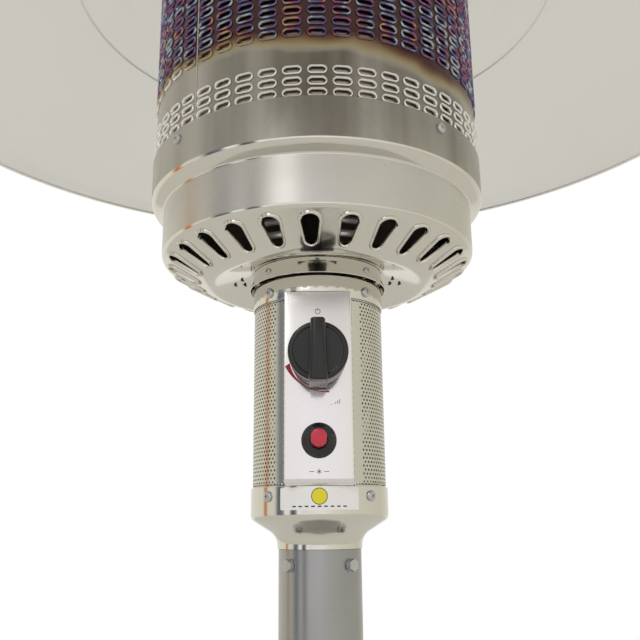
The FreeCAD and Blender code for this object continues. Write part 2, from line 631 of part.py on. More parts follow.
def make_housing():
    cup = spun("cup", "cup_wall", [
        ("cup_neck_radius", "cup_foot", None),
        ("cup_neck_radius", "post_top + cup_neck_rise", "cup_neck_bend"),
        ("cup_radius", "post_top + cup_flare_rise", "cup_flare_bend"),
        ("cup_radius", "cup_top", None),
    ])
    window = block("window", "panel_width + 2 * window_gap", "panel_front - panel_back + 22",
                   "panel_height + window_gap + panel_gap", "-panel_front - 2", "cup_top")
    sleeve = cut("sleeve_window", tube("sleeve_tube", "control_radius - control_wall",
                                       "control_radius", "control_foot", "control_top"), window)
    band = cut("band_window", tube("band_tube", "band_radius - band_wall", "band_radius",
                                   "band_foot", "control_top"), window)
    cup_level = "cup_top - cup_screw_drop"
    band_level = "control_top - band_screw_drop"
    far = "cup_radius + 5"
    drill = ("screw_radius", "screw_clearance", far)
    sleeve = drilled("sleeve_low", sleeve, *drill, cup_level, "4", "45")
    keep("control_sleeve", drilled("sleeve_high", sleeve, *drill, band_level, "4", "45"))
    keep("lower_cup", drilled("lower_cup", cup, *drill, cup_level, "4", "45"))
    keep("sleeve_top_band", drilled("band", band, *drill, band_level, "4", "45"))
    screw_ring("cup_screws", "cup_radius", cup_level, "screw_head", "screw_head_height",
               "screw_radius", "5", "4", "45")
    screw_ring("top_band_screws", "band_radius", band_level, "screw_head", "screw_head_height",
               "screw_radius", "5", "4", "45")
    collar_level = "bowl_foot - collar_screw_drop"
    collar = spun("collar", "band_wall", [
        ("collar_flare_radius", "bowl_foot - collar_height", None),
        ("collar_radius", "bowl_foot - collar_height / 4", "3"),
        ("collar_radius", "bowl_foot", "1"),
        ("collar_flange", "bowl_foot", None),
    ])
    keep("collar_ring", drilled("collar", collar, *drill, collar_level, "4", "45"))
    screw_ring("collar_ring_screws", "collar_screw_seat", collar_level, "small_screw_head",
               "screw_head_height", "screw_radius", "4", "4", "45")
    label = bind(doc.addObject("Part::Cylinder", "label_skin"), Radius="cup_radius + label_wall",
                 Height="label_height", Angle="label_angle")
    label.Placement = FreeCAD.Placement(FreeCAD.Vector(), FreeCAD.Rotation(Z_AXIS, 1))
    label.setExpression("Placement.Rotation.Angle", formula("-90 - label_angle / 2"))
    place(label, z="cup_top - label_drop - label_height")
    core = rod("label_core", "cup_radius", "label_height + 2",
               z="cup_top - label_drop - label_height - 1")
    keep("panel_label", cut("label", label, core))


def make_panel():
    outline = [("0", "0", None), ("panel_width", "0", None), ("panel_width", "panel_height", None),
               ("0", "panel_height", None)]
    body = padded("panel", outline, "panel_depth")
    pad = body.Tip
    doc.recompute()
    front = max(enumerate(body.Shape.Faces, start=1), key=lambda face: face[1].CenterOfMass.z)
    rounding = body.newObject("PartDesign::Fillet", "panel_rounding")
    rounding.Base = (pad, [f"Face{front[0]}"])
    bind(rounding, Radius="panel_bend")
    place(body, x="-panel_width / 2", y="-panel_back", z="panel_foot", rotation=TO_FRONT)
    hollow = block("panel_hollow", "panel_width - 2 * panel_wall", "panel_depth - panel_wall + 1",
                   "panel_height - 2 * panel_wall", "panel_wall - panel_front",
                   "panel_foot + panel_wall")
    stem = rod("stem_hole", "stem_radius + stem_hole_gap", "panel_depth", y="-panel_back",
               z="knob_level", rotation=TO_FRONT)
    igniter = rod("igniter_hole", "igniter_radius + igniter_fit", "panel_depth", y="-panel_back",
                  z="igniter_level", rotation=TO_FRONT)
    keep("control_panel", cut("control_panel", body, hollow, stem, igniter))


def make_knob():
    face = turned("knob_disc", [
        ("stem_radius - 0.5", "knob_back", None), ("knob_radius", "knob_back", "1"),
        ("knob_radius - 0.6", "knob_face", "2.5"), ("0", "knob_face", None),
        ("0", "knob_back + knob_socket", None),
        ("stem_radius - 0.5", "knob_back + knob_socket", None),
    ])
    place(face, z="knob_level", rotation=TO_FRONT)
    grip = block("knob_grip", "grip_width", "grip_height + 3", "grip_length",
                 "-knob_face - grip_height", "knob_level - grip_length / 2")
    keep("control_knob", fuse("control_knob", face, grip))
    stem = turned("stem", sharp(
        ("0", "stem_end"), ("stem_radius", "stem_end"), ("stem_radius", "knob_back"),
        ("stem_radius - 0.5", "knob_back"), ("stem_radius - 0.5", "knob_back + knob_socket"),
        ("0", "knob_back + knob_socket")))
    keep("knob_stem", place(stem, z="knob_level", rotation=TO_FRONT))
    ring = tube("thrust_ring", "stem_radius + stem_fit", "thrust_radius", "thrust_seat",
                "thrust_seat + thrust_wall")
    keep("valve_thrust_collar", place(ring, z="knob_level", rotation=TO_FRONT))


def make_igniter():
    where = {"z": "igniter_level", "rotation": TO_FRONT}
    bezel = turned("bezel", [
        ("button_radius + button_gap", "panel_front", None), ("bezel_radius", "panel_front", None),
        ("bezel_radius", "panel_front + 1.8", "0.6"),
        ("bezel_radius - 3", "panel_front + bezel_height", "1.5"),
        ("button_radius + button_gap", "panel_front + bezel_height", None),
    ])
    keep("igniter_bezel", place(bezel, **where))
    back = "panel_front - igniter_depth"
    barrel = turned("igniter_barrel", sharp(
        ("0", back), ("igniter_radius", back), ("igniter_radius", "panel_front"),
        ("igniter_radius - igniter_wall", "panel_front"),
        ("igniter_radius - igniter_wall", back + " + 2"), ("0", back + " + 2")))
    keep("igniter_body", place(barrel, **where))
    button = turned("button", [
        ("0", "panel_front - button_in", None), ("button_radius", "panel_front - button_in", None),
        ("button_radius", "panel_front + button_out", "1.2"),
        ("0", "panel_front + button_out + 0.8", None),
    ])
    keep("igniter_button", place(button, **where))
    length = "igniter_depth - 2 - button_in - spring_wire - 0.4"
    spring = doc.addObject("PartDesign::Body", "spring")
    wire = spring.newObject("Sketcher::SketchObject", "spring_wire_section")
    origin = next(item for item in spring.Origin.OriginFeatures if item.Role == "XZ_Plane")
    wire.AttachmentSupport = (origin, [""])
    wire.MapMode = "FlatFace"
    middle = FreeCAD.Vector(number("spring_radius"), 0, 0)
    wire.addGeometry(Part.Circle(middle, Z_AXIS, number("spring_wire") / 2), False)
    wire.addConstraint(Sketcher.Constraint("PointOnObject", 0, 3, -1))
    for kind, where_from, text in (("DistanceX", (-1, 1, 0, 3), "spring_radius"),
                                   ("Diameter", (0,), "spring_wire")):
        spot = wire.addConstraint(Sketcher.Constraint(kind, *where_from, number(text)))
        wire.setExpression(f"Constraints[{spot}]", formula(text))
    coil = spring.newObject("PartDesign::AdditiveHelix", "coil")
    coil.Profile = wire
    coil.ReferenceAxis = (wire, ["V_Axis"])
    coil.Mode = "pitch-height-angle"
    bind(coil, Height=length, Pitch=f"({length}) / spring_turns")
    keep("igniter_spring", place(spring, y=f"-({back} + 2 + spring_wire / 2 + 0.2)",
                                 z="igniter_level", rotation=TO_FRONT))


def make_valve():
    body = block("valve_block", "valve_width", "valve_front + valve_back", "valve_height",
                 "-valve_front", "valve_foot")
    bore = rod("valve_bore", "stem_radius + stem_fit", "valve_front - stem_end + 6",
               y="6 - stem_end", z="knob_level", rotation=TO_FRONT)
    keep("gas_valve_body", cut("gas_valve_body", body, bore))
    front = "-valve_front - bracket_plate"
    plate = block("bracket_face", "valve_bracket_width", "bracket_plate", "valve_bracket_height",
                  front, "knob_level - valve_bracket_height / 2")
    sides = [
        block(f"bracket_side_{name}", "bracket_plate",
              "panel_front - panel_wall - valve_front", "valve_bracket_height",
              "panel_wall - panel_front", "knob_level - valve_bracket_height / 2", x=spot)
        for name, spot in (("left", "-valve_bracket_width / 2"),
                           ("right", "valve_bracket_width / 2 - bracket_plate"))
    ]
    stem = rod("bracket_stem_hole", "stem_radius + stem_hole_gap", "4 * bracket_plate",
               y="2 * bracket_plate - valve_front", z="knob_level", rotation=TO_FRONT)
    keep("valve_bracket", cut("valve_bracket", fuse("bracket_solid", plate, *sides), stem))
    keep("burner_feed_pipe", tube("feed_pipe", "feed_radius - gas_tube_wall", "feed_radius",
                                  "valve_top", "jet_foot"))
    keep("tilt_switch", block("tilt_switch", "switch_width", "switch_depth", "switch_height",
                              "switch_back", "neck_top"))


# Burner --------------------------------------------------------------------

def make_bowl():
    shell = spun("bowl", "bowl_wall", [
        ("bowl_seat_inner", "bowl_foot", None),
        ("collar_radius + 2", "bowl_foot", "dish_bend / 2"),
        ("bowl_low_radius", "bowl_foot - bowl_low_drop", "dish_bend"),
        ("drum_radius", "bowl_foot + drum_start", "drum_bend"),
        ("drum_radius", "bowl_foot + shoulder_rise", "2"),
        ("bowl_band_radius", "bowl_foot + shoulder_rise + shoulder_height", "shoulder_bend"),
        ("bowl_band_radius", "bowl_top", None),
    ])
    taper = "(slot_outer_width - slot_inner_width) / 2"
    slot = padded("slot", [
        ("slot_start", taper, "slot_inner_width / 2 - 0.3"),
        ("slot_end", "0", "slot_outer_width / 2 - 0.6"),
        ("slot_end", "slot_outer_width", "slot_outer_width / 2 - 0.6"),
        ("slot_start", taper + " + slot_inner_width", "slot_inner_width / 2 - 0.3"),
    ], "60")
    place(slot, y="-slot_outer_width / 2", z="bowl_foot - 30")
    slots = around("slots", slot, "slot_count", "slot_phase - 90")
    keep("burner_bowl", drilled("bowl_band", cut("slotted_bowl", shell, slots), "screw_radius",
                                "screw_clearance", "bowl_band_radius + 5",
                                "bowl_top - bowl_screw_drop", "4", "bowl_screw_phase - 45"))
    screw_ring("bowl_screws", "bowl_band_radius", "bowl_top - bowl_screw_drop", "screw_head",
               "screw_head_height", "screw_radius", "5", "4", "bowl_screw_phase - 45")


def make_burner():
    disc = tube("burner_disc", "venturi_radius + 0.5", "drum_radius - bowl_wall - plate_gap",
                "plate_level", "plate_face")
    pilot_hole = rod("pilot_hole", "pilot_radius + 1", "plate_wall + 2", x="pilot_circle",
                     z="plate_level - 1")
    keep("burner_plate", cut("burner_plate", disc, pilot_hole))
    keep("burner_head", turned("burner_casting", [
        ("venturi_radius + 0.5", "plate_face", None), ("head_neck_radius", "plate_face", "1"),
        ("head_radius", "plate_face + head_height / 3", "3"),
        ("head_radius", "plate_face + 2 * head_height / 3", "6"),
        ("head_radius - 20", "plate_face + head_height", "8"), ("0", "plate_face + head_height", None),
        ("0", "plate_face + 10", None), ("venturi_radius + 0.5", "plate_face + 10", None),
    ]))
    keep("venturi", turned("venturi_tube", sharp(
        ("venturi_radius - venturi_wall", "jet_foot"), ("venturi_radius", "jet_foot"),
        ("venturi_radius", "plate_face + 5"), ("venturi_radius - venturi_wall", "plate_face + 5"))))
    jet = fuse("jet_solid", hexagon("jet_hexagon", "jet_hex", "jet_height", z="jet_foot"),
               rod("jet_disc", "venturi_radius - venturi_wall", "2", z="jet_foot"))
    keep("burner_jet", cut("burner_jet", jet, rod("jet_bore", "1", "jet_height + 2", z="jet_foot - 1")))
    top = block("stand_top", "pilot_stand_depth", "pilot_stand_width", "pilot_stand_wall",
                "-pilot_stand_width / 2", "pilot_level", x="pilot_circle - pilot_stand_depth / 2")
    leg = block("stand_leg", "pilot_stand_wall", "pilot_stand_width",
                "pilot_stand_height + pilot_stand_wall", "-pilot_stand_width / 2", "plate_face",
                x="pilot_circle + pilot_stand_depth / 2 - pilot_stand_wall")
    holes = [rod("pilot_body_hole", "pilot_body_radius + 0.1", "10", x="pilot_circle",
                 z="pilot_level - 4")]
    for name, side in (("thermocouple", ""), ("igniter_electrode", "-")):
        spot = {"x": "pilot_circle", "y": side + "probe_spacing"}
        holes.append(rod(name + "_hole", "probe_radius + 0.1", "10", z="pilot_level - 4", **spot))
        probe = rod(name + "_rod", "probe_radius", "probe_height - 8",
                    z="pilot_level - probe_height / 2", **spot)
        shank = rod(name + "_tip", "probe_radius / 2", "8",
                    z="pilot_level + probe_height / 2 - 8", **spot)
        keep(name, fuse(name, probe, shank))
    keep("pilot_bracket", cut("pilot_bracket", fuse("stand", top, leg), *holes))
    keep("pilot_burner", cut(
        "pilot_burner", rod("pilot_body", "pilot_body_radius", "pilot_body_height",
                            x="pilot_circle", z="pilot_level - pilot_body_height / 2"),
        rod("pilot_mouth", "pilot_radius - 0.8", "6", x="pilot_circle",
            z="pilot_level + pilot_body_height / 2 - 5")))
    path = upright_sketch("pilot_path")
    draw_outline(path, [
        ("pilot_offset", "valve_top", None), ("pilot_offset", "jet_foot - 8", "pilot_bend"),
        ("pilot_circle", "plate_level - 4", "pilot_bend"),
        ("pilot_circle", "pilot_level - pilot_body_height / 2", None),
    ], closed=False)
    section = bind(doc.addObject("Part::Circle", "pilot_section"), Radius="pilot_radius - 1")
    place(section, x="pilot_offset", z="valve_top")
    pipe = doc.addObject("Part::Sweep", "pilot_sweep")
    pipe.Sections = [section]
    pipe.Spine = (path, [])
    pipe.Solid = True
    keep("pilot_tube", pipe)


# Emitter and reflector -----------------------------------------------------

def make_emitter():
    screen = tube("screen_tube", "screen_radius - screen_wall", "screen_radius", "screen_foot",
                  "screen_top")
    keep("emitter_screen", drilled("screen", screen, "screw_radius", "screw_clearance",
                                   "bowl_band_radius + 5", "bowl_top - bowl_screw_drop", "4",
                                   "bowl_screw_phase - 45"))
    plate = tube("cap_disc", "0.5", "top_plate_radius", "screen_top", "plate_cap")
    drills = around("cap_drills", rod("cap_drill", "stud_radius + 0.1", "top_plate_wall + 2",
                                      x="stud_circle", z="screen_top - 1"), "stud_count", "90")
    keep("emitter_top_plate", cut("emitter_top_plate", plate, drills))


def make_reflector():
    sketch = upright_sketch("dome_outline")
    centre = FreeCAD.Vector(0, number("apex - dome_radius"), 0)
    rim = FreeCAD.Vector(number("reflector_radius"), number("rim_level"), 0)
    crease = FreeCAD.Vector(number("reflector_crease"), number("crease_level"), 0)
    out = crease - centre
    circle = Part.Circle(centre, Z_AXIS, out.Length)
    flange = sketch.addGeometry(Part.LineSegment(rim, crease), False)
    angles = (math.atan2(out.y, out.x), math.pi / 2)
    dome = sketch.addGeometry(Part.ArcOfCircle(circle, *angles), False)
    sketch.addConstraint(Sketcher.Constraint("Coincident", flange, 2, dome, 1))
    sketch.addConstraint(Sketcher.Constraint("PointOnObject", dome, 3, -2))
    sketch.addConstraint(Sketcher.Constraint("PointOnObject", dome, 2, -2))
    for kind, geometry, point, text in (
        ("DistanceX", flange, 1, "reflector_radius"), ("DistanceY", flange, 1, "rim_level"),
        ("DistanceX", flange, 2, "reflector_crease"), ("DistanceY", flange, 2, "crease_level"),
        ("DistanceY", dome, 2, "apex"),
    ):
        spot = sketch.addConstraint(
            Sketcher.Constraint(kind, -1, 1, geometry, point, number(text)))
        sketch.setExpression(f"Constraints[{spot}]", formula(text))
    shell = spin_sheet("dome", "reflector_wall", sketch)
    drill = rod("dome_drill", "stud_radius + 0.3", "20", x="stud_circle", z="stud_seat - 10")
    keep("reflector", cut("reflector", shell, around("dome_drills", drill, "stud_count", "90")))
    where = {"x": "stud_circle"}
    stud = rod("stud", "stud_radius", "stud_seat + stud_above - screen_top", z="screen_top",
               **where)
    keep("reflector_studs", around("studs", stud, "stud_count", "90"))
    spacer = cut("spacer", rod("spacer_solid", "spacer_radius",
                               "stud_seat - reflector_wall - 1 - plate_cap", z="plate_cap", **where),
                 rod("spacer_bore", "stud_radius + 0.1", "40", z="plate_cap - 10", **where))
    keep("stud_spacers", around("spacers", spacer, "stud_count", "90"))
    seat = "stud_seat + 0.8"
    washer = rod("washer", "washer_radius", "washer_wall", z=seat, **where)
    nut = rod("nut", "nut_radius", "nut_height", z=seat + " + washer_wall", **where)
    wings = block("wings", "wing_wall", "wing_span", "wing_height", "-wing_span / 2",
                  seat + " + washer_wall", x="stud_circle - wing_wall / 2")
    bore = rod("nut_bore", "stud_radius + 0.05", "40", z="stud_seat - 10", **where)
    wing_nut = cut("wing_nut", fuse("nut_solid", washer, nut, wings), bore)
    keep("wing_nuts", around("wing_nut_ring", wing_nut, "stud_count", "90"))


def check_and_write():
    """Stop on any failed object, then write each sub-part."""
    doc.recompute()
    bad = [item.Label for item in doc.Objects if {"Invalid", "Error"} & set(item.State)]
    bad += [item.Label for item in PARTS if item.Shape.isNull() or not item.Shape.isValid()]
    if bad:
        raise RuntimeError("failed objects: " + ", ".join(bad))
    os.makedirs("parts", exist_ok=True)
    for item in PARTS:
        item.Shape.exportStep(f"parts/{item.Label}.step")
        print(item.Label, len(item.Shape.Solids), round(item.Shape.Volume))


make_base()
make_brackets()
make_wheels()
make_post()
make_cover()
make_housing()
make_panel()
make_knob()
make_igniter()
make_valve()
make_bowl()
make_burner()
make_emitter()
make_reflector()
check_and_write()
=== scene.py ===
import logging
import math
from collections.abc import Callable, Iterator
from contextlib import contextmanager
from dataclasses import dataclass, field
from enum import Enum

import bmesh
import bpy
from mathutils import Matrix, Vector


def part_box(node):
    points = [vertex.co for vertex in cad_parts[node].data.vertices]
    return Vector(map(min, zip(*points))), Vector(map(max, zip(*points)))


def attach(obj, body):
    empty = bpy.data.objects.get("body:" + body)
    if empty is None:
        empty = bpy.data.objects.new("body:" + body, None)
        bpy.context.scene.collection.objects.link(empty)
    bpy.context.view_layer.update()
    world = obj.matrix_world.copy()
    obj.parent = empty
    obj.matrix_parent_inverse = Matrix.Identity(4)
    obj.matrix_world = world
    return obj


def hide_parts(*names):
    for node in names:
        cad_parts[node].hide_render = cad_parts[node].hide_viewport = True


"""A free-standing gas patio heater: its visible shells, controls and finishes.

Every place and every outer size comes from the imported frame, in metres. The origin is on the
floor under the post, +Z is up and the controls face -Y.
"""

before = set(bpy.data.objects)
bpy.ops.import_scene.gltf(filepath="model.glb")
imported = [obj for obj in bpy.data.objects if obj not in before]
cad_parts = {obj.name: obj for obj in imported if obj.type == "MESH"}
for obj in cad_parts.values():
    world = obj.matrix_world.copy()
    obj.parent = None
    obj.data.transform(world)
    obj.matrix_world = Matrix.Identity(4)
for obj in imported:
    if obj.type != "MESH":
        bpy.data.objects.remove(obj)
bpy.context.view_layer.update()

LOG = logging.getLogger("heater")
MM = 0.001
FULL_TURN = 2 * math.pi
SMOOTH_ANGLE = math.radians(35)
MERGE_GAP = 0.01 * MM

Colour = tuple[float, float, float]
Corner = tuple[float, float, float]
Point = tuple[float, float]
Piece = bpy.types.Object


# Sizes from the frame ----------------------------------------------------------------------

def reach_of(node: str) -> float:
    """The radius that a node reaches from the post's axis."""
    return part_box(node)[1].x


def foot_of(node: str) -> float:
    """The lowest height of a node."""
    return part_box(node)[0].z


def top_of(node: str) -> float:
    """The highest height of a node."""
    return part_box(node)[1].z


def middle_of(node: str) -> Vector:
    """The centre of a node's box."""
    low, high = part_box(node)
    return (low + high) / 2


def front_of(node: str) -> float:
    """How far a node comes forward of the post's axis."""
    return -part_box(node)[0].y


def low_corner(node: str) -> Vector:
    """The low corner of a node's box."""
    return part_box(node)[0]


def high_corner(node: str) -> Vector:
    """The high corner of a node's box."""
    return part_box(node)[1]


def taken(measure: Callable[[str], object], node: str) -> object:
    """A dataclass field whose default is measured on a node when the piece is made."""
    return field(default_factory=lambda: measure(node))


# Bench: modelling by operators ---------------------------------------------------------------

def put_down() -> None:
    """Leave edit mode and deselect everything."""
    held = bpy.context.view_layer.objects.active
    if held is not None and held.mode != "OBJECT":
        bpy.ops.object.mode_set(mode="OBJECT")
    bpy.ops.object.select_all(action="DESELECT")


def hold(piece: Piece) -> None:
    """Make one piece the only selected and active one."""
    put_down()
    piece.select_set(True)
    bpy.context.view_layer.objects.active = piece


@contextmanager
def editing(piece: Piece, kind: str = "FACE") -> Iterator[None]:
    """Edit mode on one piece, with everything selected at the start.

    Args:
        piece: The mesh object to edit.
        kind: VERT, EDGE or FACE, the selection mode.
    """
    hold(piece)
    bpy.ops.object.mode_set(mode="EDIT")
    bpy.ops.mesh.select_mode(type=kind)
    bpy.ops.mesh.select_all(action="SELECT")
    yield
    bpy.ops.object.mode_set(mode="OBJECT")


def pick(piece: Piece, test: Callable[[Vector, Vector], bool], kind: str = "FACE") -> None:
    """Select what passes a test on its middle and its normal, in edit mode.

    Args:
        piece: The mesh object in edit mode.
        test: Takes the middle and the normal of an item.
        kind: VERT, EDGE or FACE.
    """
    bpy.ops.mesh.select_mode(type=kind)
    bpy.ops.mesh.select_all(action="DESELECT")
    mesh = bmesh.from_edit_mesh(piece.data)
    mesh.normal_update()
    if kind == "FACE":
        for item in mesh.faces:
            item.select_set(test(item.calc_center_median(), item.normal))
    elif kind == "EDGE":
        for item in mesh.edges:
            ends = [end.co for end in item.verts]
            item.select_set(test((ends[0] + ends[1]) / 2, ends[1] - ends[0]))
    else:
        for item in mesh.verts:
            item.select_set(test(item.co, item.normal))
    mesh.select_flush_mode()
    bmesh.update_edit_mesh(piece.data)


def extrude(x: float, y: float, z: float) -> None:
    """Extrude what is selected by a step."""
    bpy.ops.mesh.extrude_region_move(TRANSFORM_OT_translate={"value": (x, y, z)})


def begin(name: str, primitive: Callable[..., set], stretch: Colour = (1, 1, 1),
          **settings: object) -> Piece:
    """Add a primitive at its place, scaled to its size.

    Args:
        name: The piece's name.
        primitive: One of Blender's primitive operators.
        stretch: Scale along X, Y and Z.
        settings: Passed to the operator.

    Returns:
        The new piece, the only one selected.
    """
    put_down()
    primitive(**settings)
    piece = bpy.context.object
    piece.name = name
    piece.data.name = name
    piece.scale = stretch
    settle(piece)
    return piece


def settle(piece: Piece) -> None:
    """Put a piece's place, turn and scale into its mesh."""
    hold(piece)
    bpy.ops.object.transform_apply(location=True, rotation=True, scale=True)


def modify(piece: Piece, kind: str, **settings: object) -> None:
    """Add a modifier with its settings and apply it."""
    hold(piece)
    modifier = piece.modifiers.new(kind.lower(), kind)
    for name, value in settings.items():
        setattr(modifier, name, value)
    bpy.ops.object.modifier_apply(modifier=modifier.name)


def close_up(piece: Piece) -> None:
    """Merge doubled points and turn the faces outwards."""
    with editing(piece):
        bpy.ops.mesh.remove_doubles(threshold=MERGE_GAP)
        bpy.ops.mesh.normals_make_consistent(inside=False)


def smooth(piece: Piece, angle: float = SMOOTH_ANGLE) -> None:
    """Shade a piece smooth up to an angle."""
    hold(piece)
    bpy.ops.object.shade_smooth_by_angle(angle=angle)


def join(name: str, pieces: list[Piece]) -> Piece:
    """Join pieces into one, named anew."""
    hold(pieces[0])
    for piece in pieces:
        piece.select_set(True)
    bpy.ops.object.join()
    joined = bpy.context.object
    joined.name = name
    joined.data.name = name
    return joined


def copy_round(piece: Piece, angles: list[float]) -> list[Piece]:
    """Copies of a piece turned about the post's axis, each with its own mesh.

    Args:
        piece: The piece to copy; it is the first of the result.
        angles: Azimuths in degrees, the piece itself standing at 0.

    Returns:
        One piece for each azimuth.
    """
    copies = [piece]
    for _ in angles[1:]:
        hold(piece)
        bpy.ops.object.duplicate()
        copies.append(bpy.context.object)
    for copy, angle in zip(copies, angles):
        copy.rotation_euler.z = math.radians(angle)
        settle(copy)
    return copies


def rounded(corners: list[Corner], facets: int = 6) -> list[Point]:
    """Points of an outline whose corners are rounded.

    Args:
        corners: (radius, height, bend) of each corner; a bend of 0 stays sharp.
        facets: Straight runs in each bend.

    Returns:
        (radius, height) points from the first corner to the last.
    """
    points: list[Point] = []
    for i, (radius, height, bend) in enumerate(corners):
        spot = Vector((radius, height))
        if bend == 0:
            points.append((radius, height))
            continue
        before = (Vector(corners[i - 1][:2]) - spot).normalized()
        after = (Vector(corners[i + 1][:2]) - spot).normalized()
        half = before.angle(after) / 2
        centre = spot + (before + after).normalized() * (bend / math.sin(half))
        start = spot + before * (bend / math.tan(half)) - centre
        swing = start.angle_signed(spot + after * (bend / math.tan(half)) - centre)
        for step in range(facets + 1):
            turn = -swing * step / facets
            arm = Vector((start.x * math.cos(turn) - start.y * math.sin(turn),
                          start.x * math.sin(turn) + start.y * math.cos(turn)))
            points.append(tuple(centre + arm))
    return points


def turned(name: str, outline: list[Point], steps: int = 96, wall: float = 0.0,
           gap: float = 0.0) -> Piece:
    """Spin an outline about the post's axis, as on a lathe.

    Args:
        name: The piece's name.
        outline: (radius, height) points.
        steps: Facets round the turn.
        wall: Sheet thickness, laid inwards from the outline; 0 for none.
        gap: Half the angle in radians left open at the front.

    Returns:
        The turned piece, smooth and with its faces outwards.
    """
    def spot(point: Point) -> Vector:
        return Vector((-point[0] * math.sin(gap), -point[0] * math.cos(gap), point[1]))

    piece = begin(name, bpy.ops.mesh.primitive_plane_add, stretch=(MM, MM, MM))
    with editing(piece, "VERT"):
        bpy.ops.mesh.merge(type="CENTER")
        bpy.ops.transform.translate(value=spot(outline[0]))
        for near, far in zip(outline, outline[1:]):
            extrude(*(spot(far) - spot(near)))
        bpy.ops.mesh.select_all(action="SELECT")
        bpy.ops.mesh.spin(steps=steps, angle=FULL_TURN - 2 * gap, center=(0, 0, 0),
                          axis=(0, 0, 1))
    close_up(piece)
    if wall:
        modify(piece, "SOLIDIFY", thickness=wall, offset=-1, use_even_offset=True)
    smooth(piece)
    return piece


def face_front(piece: Piece, level: float) -> None:
    """Turn a piece modelled upright so that its top faces the front, at a height."""
    piece.rotation_euler.x = math.pi / 2
    piece.location.z = level
    settle(piece)


# Finishes ------------------------------------------------------------------------------------

class Grain(Enum):
    """How the fine lines of a surface run: the stretch of their noise along X, Y and Z."""

    AROUND = (9.0, 9.0, 2600.0)
    UPRIGHT = (2600.0, 2600.0, 12.0)
    EVEN = (900.0, 900.0, 900.0)
    COARSE = (260.0, 260.0, 260.0)


@dataclass(frozen=True)
class Group:
    """A shader node group that several materials place with their own values."""

    name: str
    inputs: tuple[tuple[str, str, object], ...]
    outputs: tuple[tuple[str, str], ...]

    def begin(self) -> tuple[bpy.types.NodeTree, bpy.types.Node, bpy.types.Node]:
        """Make the empty group with its sockets.

        Returns:
            The tree, its input node and its output node.
        """
        tree = bpy.data.node_groups.new(self.name, "ShaderNodeTree")
        for name, kind, value in self.inputs:
            socket = tree.interface.new_socket(name, in_out="INPUT", socket_type=kind)
            socket.default_value = value
        for name, kind in self.outputs:
            tree.interface.new_socket(name, in_out="OUTPUT", socket_type=kind)
        return tree, tree.nodes.new("NodeGroupInput"), tree.nodes.new("NodeGroupOutput")


def node(tree: bpy.types.NodeTree, kind: str, inputs: dict[str | int, object] | None = None,
         **settings: object) -> bpy.types.Node:
    """Add a shader node, set it up and link or set its inputs.

    Args:
        tree: The node tree.
        kind: The node's type without the ShaderNode in front.
        inputs: Sockets by name or number; a socket is linked and a value is set.
        settings: Properties of the node.

    Returns:
        The node.
    """
    made = tree.nodes.new("ShaderNode" + kind)
    for name, value in settings.items():
        setattr(made, name, value)
    for name, value in (inputs or {}).items():
        if isinstance(value, bpy.types.NodeSocket):
            tree.links.new(value, made.inputs[name])
        else:
            made.inputs[name].default_value = value
    return made


def maths(tree: bpy.types.NodeTree, operation: str, *values: object) -> bpy.types.NodeSocket:
    """The result of a maths node on sockets or numbers."""
    return node(tree, "Math", dict(enumerate(values)), operation=operation).outputs[0]


def spread(tree: bpy.types.NodeTree, value: bpy.types.NodeSocket, low: float, high: float,
           to_low: object = 0.0, to_high: object = 1.0) -> bpy.types.NodeSocket:
    """Map a value from one range to another, held at its ends."""
    ranges = {"Value": value, "From Min": low, "From Max": high, "To Min": to_low,
              "To Max": to_high}
    return node(tree, "MapRange", ranges).outputs["Result"]


def blend(tree: bpy.types.NodeTree, share: object, first: object,
          second: object) -> bpy.types.NodeSocket:
    """Mix two colours by a share."""
    mix = node(tree, "Mix", data_type="RGBA")
    for spot, value in ((0, share), (6, first), (7, second)):
        if isinstance(value, bpy.types.NodeSocket):
            tree.links.new(value, mix.inputs[spot])
        else:
            mix.inputs[spot].default_value = value
    return mix.outputs[2]


def solid(colour: Colour) -> tuple[float, float, float, float]:
    """A colour with full opacity."""
    return (*colour, 1.0)


def place(tree: bpy.types.NodeTree) -> bpy.types.NodeSocket:
    """The object coordinates."""
    return node(tree, "TexCoord").outputs["Object"]


def azimuth(tree: bpy.types.NodeTree, parts: bpy.types.Node) -> bpy.types.NodeSocket:
    """The turn about the upright, 0 to 1 with the front at a half, from split coordinates."""
    back = maths(tree, "MULTIPLY", parts.outputs["Y"], -1.0)
    return spread(tree, maths(tree, "ARCTAN2", parts.outputs["X"], back), -math.pi, math.pi)


def by_angle(stops: tuple[tuple[float, Colour], ...]) -> tuple[tuple[float, Colour], ...]:
    """Ramp stops for an azimuth from stops in degrees right of the front."""
    return tuple(((angle + 180) / 360, colour) for angle, colour in stops)


def make_grain_group() -> bpy.types.NodeTree:
    """Fine lines or grit: a height and a shade from stretched noise."""
    tree, given, result = Group(
        "surface_grain",
        (("Stretch", "NodeSocketVector", (1.0, 1.0, 1.0)),
         ("Contrast", "NodeSocketFloat", 0.5)),
        (("Height", "NodeSocketFloat"), ("Shade", "NodeSocketFloat")),
    ).begin()
    where = place(tree)
    stretched = node(tree, "VectorMath", {0: where, 1: given.outputs["Stretch"]},
                     operation="MULTIPLY").outputs[0]
    noise = node(tree, "TexNoise", {"Vector": stretched, "Scale": 1.0, "Detail": 3.0})
    tree.links.new(noise.outputs["Fac"], result.inputs["Height"])
    middle_up = maths(tree, "SUBTRACT", noise.outputs["Fac"], 0.5)
    shade = maths(tree, "MULTIPLY_ADD", middle_up, given.outputs["Contrast"], 0.5)
    tree.links.new(shade, result.inputs["Shade"])
    return tree


